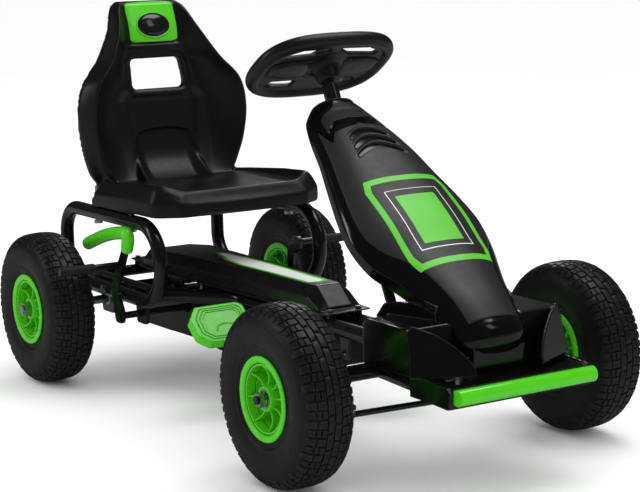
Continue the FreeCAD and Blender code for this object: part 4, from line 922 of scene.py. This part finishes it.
def insert_mesh():
    """Curved plate up the back rest, over its top and a little way down behind."""
    levels = np.linspace(574.0, 634.5, 60)
    path = list(zip(insert_x(levels), levels))
    x, z = path[-1]
    for a in np.linspace(0.15, 1, 14) * math.radians(160):
        path.append((x - 8.5 + 8.5 * math.cos(a), z + 7.5 * math.sin(a)))
    x, z = path[-1]
    path += [(x - 0.5 * k, z - 3.0 * k) for k in range(1, 7)]
    path = np.array(path)
    tangent = unit(np.gradient(path, axis=0))
    normal = np.stack([tangent[:, 1], -tangent[:, 0]], -1)
    travelled = lengths(path)
    u = np.linspace(-1, 1, 61)
    half = (47.2 + 0.9 * np.minimum(1, travelled / 60)
            - 7 * np.maximum(0, 1 - travelled / 7.0) ** 2.2)
    y = half[:, None] * u
    crown = 1.2 * (1 - u * u)
    rounding = 1.6 * np.exp(-(1 - np.abs(u)) * 22) + 1.6 * np.exp(-travelled / 1.6)[:, None]
    verts = []
    for lift in (crown + 2.2 - rounding, np.full(y.shape, -3.0)):
        at = path[:, None] + normal[:, None] * lift[..., None]
        verts.append(np.stack([at[..., 0], y, at[..., 1]], -1).reshape(-1, 3))
    return np.vstack(verts), shell_faces(*y.shape)


def dome_mesh():
    """Plain oval dome standing on the insert."""
    tilt = (insert_x(DOME_Z + 15) - insert_x(DOME_Z - 15)) / 30.0
    slant = math.hypot(1, tilt)
    verts = []
    for share, height in DOME_RINGS:
        for j in range(DOME_SEGMENTS):
            a = 2 * math.pi * j / DOME_SEGMENTS
            y = share * DOME_HALF_WIDTH * math.cos(a)
            dz = share * DOME_HALF_HEIGHT * math.sin(a)
            x = insert_x(DOME_Z) + tilt * dz
            verts.append((x + height / slant, y, DOME_Z + dz - height * tilt / slant))
    return verts, capped_faces(len(DOME_RINGS), DOME_SEGMENTS)


def add_insert():
    plate = insert_mesh()
    verts, faces = merge([plate, dome_mesh()])
    ring_marks = [INSIDE if share < 1.02 else OUTSIDE for share, _ in DOME_RINGS]
    dome = np.r_[np.full(len(plate[0]), OUTSIDE), np.repeat(ring_marks, DOME_SEGMENTS)]
    material = finish(
        "insert_green", GREEN, roughness=0.24, roughness_spread=0.06, coat=0.3, grain=1100,
        bump=0.02, mottle=0.04, edge_wear_and_highlight=0.25, edge_wear_and_highlight_color=(0.25, 0.9, 0.10),
        masks=(Mask("dome", color=(0.006, 0.006, 0.007), roughness=0.16, coat=0.7),))
    add_piece("seat_top_insert", verts, faces, material, "chassis",
              "seat_insert", 40.0, {"dome": dome})


add_insert()

# ------------------------------------------------------------------ chain guard
# Outline of the plain label panel on the guard's top: x, y.
LABEL = np.array([(-322, 13), (-232, -15), (-172, -22), (40, -20), (46, 0), (40, 19),
                  (-118, 27), (-226, 29), (-300, 24)], float)
LABEL_LOWEST_Z = 204
LABEL_RIM = 6.5


def inside_polygon(points, polygon):
    """Signed distance (above zero inside) from points to a closed polygon."""
    distance = np.full(len(points), 1e9)
    inside = np.zeros(len(points), bool)
    x, y = points[:, 0], points[:, 1]
    for a, b in zip(polygon, np.roll(polygon, -1, 0)):
        ab = b - a
        t = np.clip(((points - a) @ ab) / (ab @ ab), 0, 1)
        nearest = a + t[:, None] * ab
        distance = np.minimum(distance, np.linalg.norm(points - nearest, axis=1))
        crossing_x = ab[0] * (y - a[1]) / (ab[1] + 1e-12) + a[0]
        inside ^= ((a[1] > y) != (b[1] > y)) & (x < crossing_x)
    return np.where(inside, distance, -distance)


def add_chain_guard():
    material = finish(
        "guard_plastic", (0.005, 0.005, 0.0054), roughness=0.30, grain=1500, edge_wear_and_highlight=0.10,
        masks=(Mask("rim", color=(0.11, 0.60, 0.03), roughness=0.28, coat=0.3),
               Mask("clear", color=(0.90, 0.92, 0.90), roughness=0.3, coat=0.1)))
    mesh = moulding_from_cad("guard_moulding", "chain_guard_upper", material, 1.7, 2).data
    points = np.empty(len(mesh.vertices) * 3)
    mesh.vertices.foreach_get("co", points)
    points = points.reshape(-1, 3) / MM
    inside = inside_polygon(points[:, :2], resample(rounded(LABEL, 7, 5), 200))
    inside = np.where(points[:, 2] > LABEL_LOWEST_Z, inside, OUTSIDE)
    for name, values in (("rim", inside), ("clear", inside - LABEL_RIM)):
        add_attribute(mesh, name, np.clip(values, OUTSIDE, INSIDE))


add_chain_guard()

# ------------------------------------------------------------------ softened chassis shells
# End cheek of the bumper tray: x, z.
CHEEK = [(466, 131), (556, 131), (558.5, 152), (552, 158), (479, 164), (467, 160)]
CHEEK_SPANS = ((-125.0, -118.0), (118.0, 125.0))  # y


def tray_cheek(y0, y1):
    """Plate that closes off one end of the bar."""
    n = len(CHEEK)
    verts = [(x, y, z) for y in (y0, y1) for x, z in CHEEK]
    faces = [tuple(range(n)), tuple(range(2 * n - 1, n - 1, -1))]
    faces += [(i, i + n, (i + 1) % n + n, (i + 1) % n) for i in range(n)]
    return verts, faces


moulding_from_cad("lower_case_moulding", "chain_guard_lower", FINISHES["satin"], 1.8, 2)
for side_name in ("left", "right"):
    moulding_from_cad("pod_moulding_" + side_name, "side_pod_" + side_name,
                      FINISHES["gloss"], 1.3, 2)
moulding_from_cad("tray_moulding", "bumper_tray", FINISHES["gloss"], 1.0, 1,
                  [tray_cheek(*span) for span in CHEEK_SPANS])
moulding_from_cad("grille_moulding", "nose_grille", FINISHES["gloss"], 1.0, 1)

# ------------------------------------------------------------------ bumper bar
BAR_HALF, BAR_RADIUS, BAR_CHAMFER = 117.5, 11.4, 0.5


def add_bumper_bar():
    shoulder, end_radius = BAR_HALF - BAR_CHAMFER, BAR_RADIUS - BAR_CHAMFER
    path = [(0, y, 0) for y in (-BAR_HALF, -shoulder, shoulder, BAR_HALF)]
    verts, faces = sweep(path, [end_radius, BAR_RADIUS, BAR_RADIUS, end_radius], 48)
    add_piece("bumper_bar_sleeve", verts + centre("bumper_bar"), faces,
              FINISHES["green_paint"], "chassis", "bumper_bar", 40.0)


add_bumper_bar()

# ------------------------------------------------------------------ brake grip
# Centre line from the rear end to the bent front end: x, z.
GRIP_LINE = [(-436, 232), (-408, 242), (-364, 256), (-322, 265.5), (-292, 269.5),
             (-278, 268.5), (-273.5, 262), (-275, 252), (-280, 239)]
GRIP_Y = -177.0
GRIP_RADIUS = 11.3
GRIP_STATIONS = 90


def end_rounding(distance, reach, depth):
    """Radius factor that rounds off an end over the given reach."""
    fall = np.clip(1 - distance / reach, 0, 1) ** 2 * depth
    return np.sqrt(np.clip(1 - fall, 0.05, 1))


def add_brake_grip():
    line = even(GRIP_LINE, GRIP_STATIONS)
    path = np.stack([line[:, 0], np.full(GRIP_STATIONS, GRIP_Y), line[:, 1]], -1)
    f = np.linspace(0, 1, GRIP_STATIONS)
    radii = GRIP_RADIUS * end_rounding(f, reach=0.045, depth=0.93)
    radii = radii * (1 - 0.10 * step(f, 0.86, 1.0))
    radii = radii * end_rounding(1 - f, reach=0.012, depth=0.4)
    verts, faces = sweep(path, radii, 32)
    add_piece("brake_grip_sleeve", verts, faces, FINISHES["green"], "brake",
              "brake_grip", 50.0)


add_brake_grip()

# ------------------------------------------------------------------ pedals
# Outline of the right pedal: x, y.
PEDAL = [(-37, -38), (-14, -56), (22, -57), (39, -40), (40, 30), (26, 47), (-30, 47.5), (-37, 38)]
PEDAL_HALF_THICKNESS = 8.0
PEDAL_Y = 119.0
PEDAL_TILT = math.radians(38)
CRANK_X, CRANK_Z, CRANK_LENGTH = 25.8, 130.0, 88.0
CRANK_ANGLE = math.radians(171.4)


def pedal_height(x, y, inset):
    """Half thickness: rounded edge, two grooves, a sunk middle and an arched ridge in it."""
    height = PEDAL_HALF_THICKNESS - 0.9 * math.exp(-inset / 0.8)
    for groove in (6.4, 10.6):
        height -= 1.7 * math.exp(-(((inset - groove) / 0.75) ** 4))
    height -= 1.5 * float(step(inset, 13.6, 14.2))
    if inset > 14.4 and x < 16:
        height += ridge(13.0 - math.hypot(y / 1.5, x - 16.0), 1.0)
    return max(height, 1.0)


def pedal_mesh(side):
    outline = [(x, -y) for x, y in PEDAL[::-1]] if side > 0 else PEDAL
    outline = resample(rounded(outline, 8), 240)
    scales = np.r_[np.linspace(0.02, 0.5, 22), np.linspace(0.5, 1, 110)[1:]]
    verts = []
    for face in (1, -1):
        for scale in scales:
            inset = (1 - scale) * 38.0
            for x, y in outline * scale:
                verts.append((x, y, face * pedal_height(x, y, inset)))
    rows, columns = len(scales), len(outline)
    skin = rows * columns
    faces = grid_faces(rows, columns, wrap_columns=True)
    faces += grid_faces(rows, columns, skin, wrap_columns=True)
    faces += [tuple(range(columns))[::-1], tuple(range(skin, skin + columns))]
    rim = (rows - 1) * columns
    for j in range(columns):
        k = (j + 1) % columns
        faces.append((rim + j, rim + k, skin + rim + k, skin + rim + j))
    return np.array(verts), faces


for side, side_name in ((1, "left"), (-1, "right")):
    pedal_verts, pedal_faces = pedal_mesh(side)
    spindle = np.array([CRANK_X - side * CRANK_LENGTH * math.cos(CRANK_ANGLE), side * PEDAL_Y,
                        CRANK_Z - side * CRANK_LENGTH * math.sin(CRANK_ANGLE)])
    add_piece("pedal_moulding_" + side_name, pedal_verts @ turn_about_y(PEDAL_TILT).T + spindle,
              pedal_faces, FINISHES["green"], "pedal_" + side_name,
              "pedal_" + side_name, 32.0)

# ------------------------------------------------------------------ steering wheel
# Built flat in its own x, y plane, then tilted and moved into place.
WHEEL_HALF_X, WHEEL_HALF_Y, WHEEL_POWER = 74.5, 109.5, 2.8  # superellipse of the rim's middle
RIM_TUBE_FLAT, RIM_TUBE_TALL = 11.0, 11.8  # half thickness in the plane and across it
WHEEL_TILT = math.radians(-33.7)
WHEEL_CENTRE = np.array([60.5, 0, 557.5])
# Openings in the plate on the +Y side, mirrored to the other: x, y.
FRONT_OPENING = [(57, 9), (55, 60), (42, 84), (33, 80), (39, 24), (41, 9)]
REAR_OPENING = [(-33, 30), (-33, 74), (-45, 87), (-52, 66), (-52, 30)]
# Hub section, a smooth curve and then straight lines: radius, z.
HUB_CURVE = [(0.3, 9.0), (26, 9.2), (34, 7.5), (38, 4.0), (41, 1.0), (41, -3), (37, -6.5),
             (30, -8.0), (24, -11), (20.5, -17), (18.5, -25)]
HUB_FOOT = [(17.5, -33), (16.5, -34), (0.3, -34)]
HUB_SEGMENTS = 64
# Swelling on the +Y side under the plate: x, y.
SWELLING = [(-22, 26), (24, 26), (24, 70), (14, 98), (-14, 98), (-24, 70)]
SWELLING_RINGS = [(1.0, -2.0), (1.0, -5.0), (0.97, -7.4), (0.9, -9.0), (0.6, -10.0),
                  (0.1, -10.4)]  # scale, z


def rim_line():
    """Middle line of the wheel's rim and its outward normals."""
    points = []
    for a in np.linspace(0, 2 * math.pi, 720, endpoint=False):
        c, s = math.cos(a), math.sin(a)
        r = (abs(c / WHEEL_HALF_X) ** WHEEL_POWER
             + abs(s / WHEEL_HALF_Y) ** WHEEL_POWER) ** (-1 / WHEEL_POWER)
        points.append((r * c, r * s))
    line = resample(np.array(points), 160)
    tangent = unit(np.roll(line, -1, 0) - np.roll(line, 1, 0))
    return line, np.stack([tangent[:, 1], -tangent[:, 0]], -1)


def rim_tube(line, outward, segments=36):
    verts = []
    for point, normal in zip(line, outward):
        for j in range(segments):
            b = 2 * math.pi * j / segments
            x, y = point + normal * RIM_TUBE_FLAT * math.cos(b)
            verts.append((x, y, RIM_TUBE_TALL * math.sin(b)))
    return verts, grid_faces(len(line), segments, wrap_rows=True, wrap_columns=True)


def plate_mesh(loops, half, bevel):
    """Flat plate with rounded edges; the first loop is the outline, the others are holes."""
    curve = bpy.data.curves.new("plate", "CURVE")
    curve.dimensions = "2D"
    curve.fill_mode = "BOTH"
    curve.extrude = (half - bevel) * MM
    curve.bevel_depth = bevel * MM
    curve.bevel_resolution = 3
    curve.offset = -bevel * MM
    for loop in loops:
        line = curve.splines.new("POLY")
        line.points.add(len(loop) - 1)
        for point, (x, y) in zip(line.points, loop):
            point.co = (x * MM, y * MM, 0, 1)
        line.use_cyclic_u = True
    plate = link_object("plate", curve)
    bpy.context.view_layer.update()
    depsgraph = bpy.context.evaluated_depsgraph_get()
    mesh = bpy.data.meshes.new_from_object(plate.evaluated_get(depsgraph))
    verts = np.array([v.co for v in mesh.vertices]) / MM
    faces = [tuple(p.vertices) for p in mesh.polygons]
    bpy.data.objects.remove(plate)
    return verts, faces


def wheel_plate(line, outward):
    loops = [resample(line - outward * 3.0, 120)]
    for opening in (FRONT_OPENING, REAR_OPENING):
        for side in (1, -1):
            loops.append(rounded(np.array(opening, float) * [1, side], 4, 5))
    return plate_mesh(loops, half=3.6, bevel=1.2)


def hub_mesh():
    section = np.vstack([spline(np.linspace(0, 10, 60), HUB_CURVE), HUB_FOOT])
    verts = []
    for k in range(HUB_SEGMENTS):
        a = 2 * math.pi * k / HUB_SEGMENTS
        verts += [(r * math.cos(a), r * math.sin(a), z) for r, z in section]
    count = len(section)
    faces = grid_faces(HUB_SEGMENTS, count, wrap_rows=True)
    faces.append(tuple(k * count for k in range(HUB_SEGMENTS)))
    faces.append(tuple(k * count + count - 1 for k in range(HUB_SEGMENTS))[::-1])
    return verts, faces


def swelling_mesh(side):
    outline = resample(rounded(SWELLING, 8, 5) * [1, side], 80)
    middle = outline.mean(0)
    verts = [(x, y, z) for scale, z in SWELLING_RINGS
             for x, y in middle + (outline - middle) * scale]
    return verts, capped_faces(len(SWELLING_RINGS), len(outline))


def moved(part, offset):
    verts, faces = part
    return np.asarray(verts, float) + offset, faces


def add_steering_wheel():
    line, outward = rim_line()
    verts, faces = merge([
        rim_tube(line, outward),
        moved(wheel_plate(line, outward), [0, 0, -3.0]),
        moved(hub_mesh(), [9.0, 0, -1.5]),
        moved(swelling_mesh(1), [4.0, 0, -1.5]),
        moved(swelling_mesh(-1), [4.0, 0, -1.5]),
    ])
    add_piece("steering_wheel_moulding", verts @ turn_about_y(WHEEL_TILT).T + WHEEL_CENTRE,
              faces, FINISHES["grip"], "steering", "steering_wheel", 40.0)


add_steering_wheel()


# ------------------------------------------------------------------ stage, in metres
def add_floor():
    half, z = 60.0, -0.0006
    mesh = bpy.data.meshes.new("floor")
    corners = [(x, y, z) for y in (-half, half) for x in (-half, half)]
    mesh.from_pydata(corners, [], [(0, 1, 3, 2)])
    floor = link_object("floor", mesh)
    s = Shader("pale_floor")
    cloud = s.noise(s.object_coordinates(), scale=1.5, detail=2.0, roughness=0.5)
    pale = s.mix_color(cloud, (0.94, 0.94, 0.94), (0.97, 0.97, 0.97))
    # seen in the glossy finishes the floor is darker, so that black parts stay black
    glossy_ray = s.node("LightPath").outputs["Is Glossy Ray"]
    s.set_surface(Base_Color=s.mix_color(glossy_ray, pale, (0.22, 0.22, 0.22)),
                  Roughness=0.7, Specular_IOR_Level=0.2)
    mesh.materials.append(s.material)


def add_world():
    """White room that lights the floor fully but shows only dimly in the glossy finishes."""
    world = bpy.data.worlds.new("studio")
    scene.world = world
    world.use_nodes = True
    tree = world.node_tree
    background = tree.nodes["Background"]
    background.inputs["Color"].default_value = (1.0, 1.0, 1.0, 1.0)
    light_path = tree.nodes.new("ShaderNodeLightPath")
    strength = tree.nodes.new("ShaderNodeMapRange")
    strength.inputs["To Min"].default_value = 1.14
    strength.inputs["To Max"].default_value = 0.035
    tree.links.new(light_path.outputs["Is Glossy Ray"], strength.inputs["Value"])
    tree.links.new(strength.outputs["Result"], background.inputs["Strength"])


def add_area_light(name, location, target, power, size, height=None):
    """Area light aimed at the target; a rectangle when a height is given."""
    light = bpy.data.lights.new(name, "AREA")
    light.energy = power
    light.size = size
    if height:
        light.shape = "RECTANGLE"
        light.size_y = height
    lamp = bpy.data.objects.new(name, light)
    lamp.location = location
    aim = Vector(target) - Vector(location)
    lamp.rotation_euler = aim.to_track_quat("-Z", "Y").to_euler()
    scene.collection.objects.link(lamp)


def add_camera():
    yaw, pitch, roll = 2.5713, -0.1666, -0.023  # radians
    data = bpy.data.cameras.new("camera")
    camera = link_object("camera", data)
    forward = Vector((math.cos(pitch) * math.cos(yaw), math.cos(pitch) * math.sin(yaw),
                      math.sin(pitch)))
    level = forward.cross(Vector((0, 0, 1))).normalized()
    upright = level.cross(forward)
    right = level * math.cos(roll) + upright * math.sin(roll)
    up = -level * math.sin(roll) + upright * math.cos(roll)
    pose = Matrix((right, up, -forward)).transposed().to_4x4()
    pose.translation = (2.4691, -1.5258, 0.7517)
    camera.matrix_world = pose
    data.sensor_width = 36
    data.lens = 103.5
    data.shift_x, data.shift_y = -0.02275, 0.0007
    data.clip_start, data.clip_end = 0.05, 200
    scene.camera = camera


add_floor()
add_world()
add_area_light("key", location=(0.3, 0.9, 2.8), target=(0.05, 0, 0.3), power=23, size=1.6)
add_area_light("front", location=(2.6, 1.4, 2.6), target=(0.2, 0, 0.3), power=2.5, size=0.5,
               height=1.2)
add_area_light("side", location=(-1.6, -2.6, 1.7), target=(0, 0, 0.3), power=9, size=0.4,
               height=1.8)
add_area_light("back", location=(-2.4, 1.8, 1.9), target=(-0.3, 0, 0.4), power=12, size=0.7,
               height=1.2)
add_camera()
scene.view_settings.view_transform = "Standard"
scene.view_settings.look = "None"
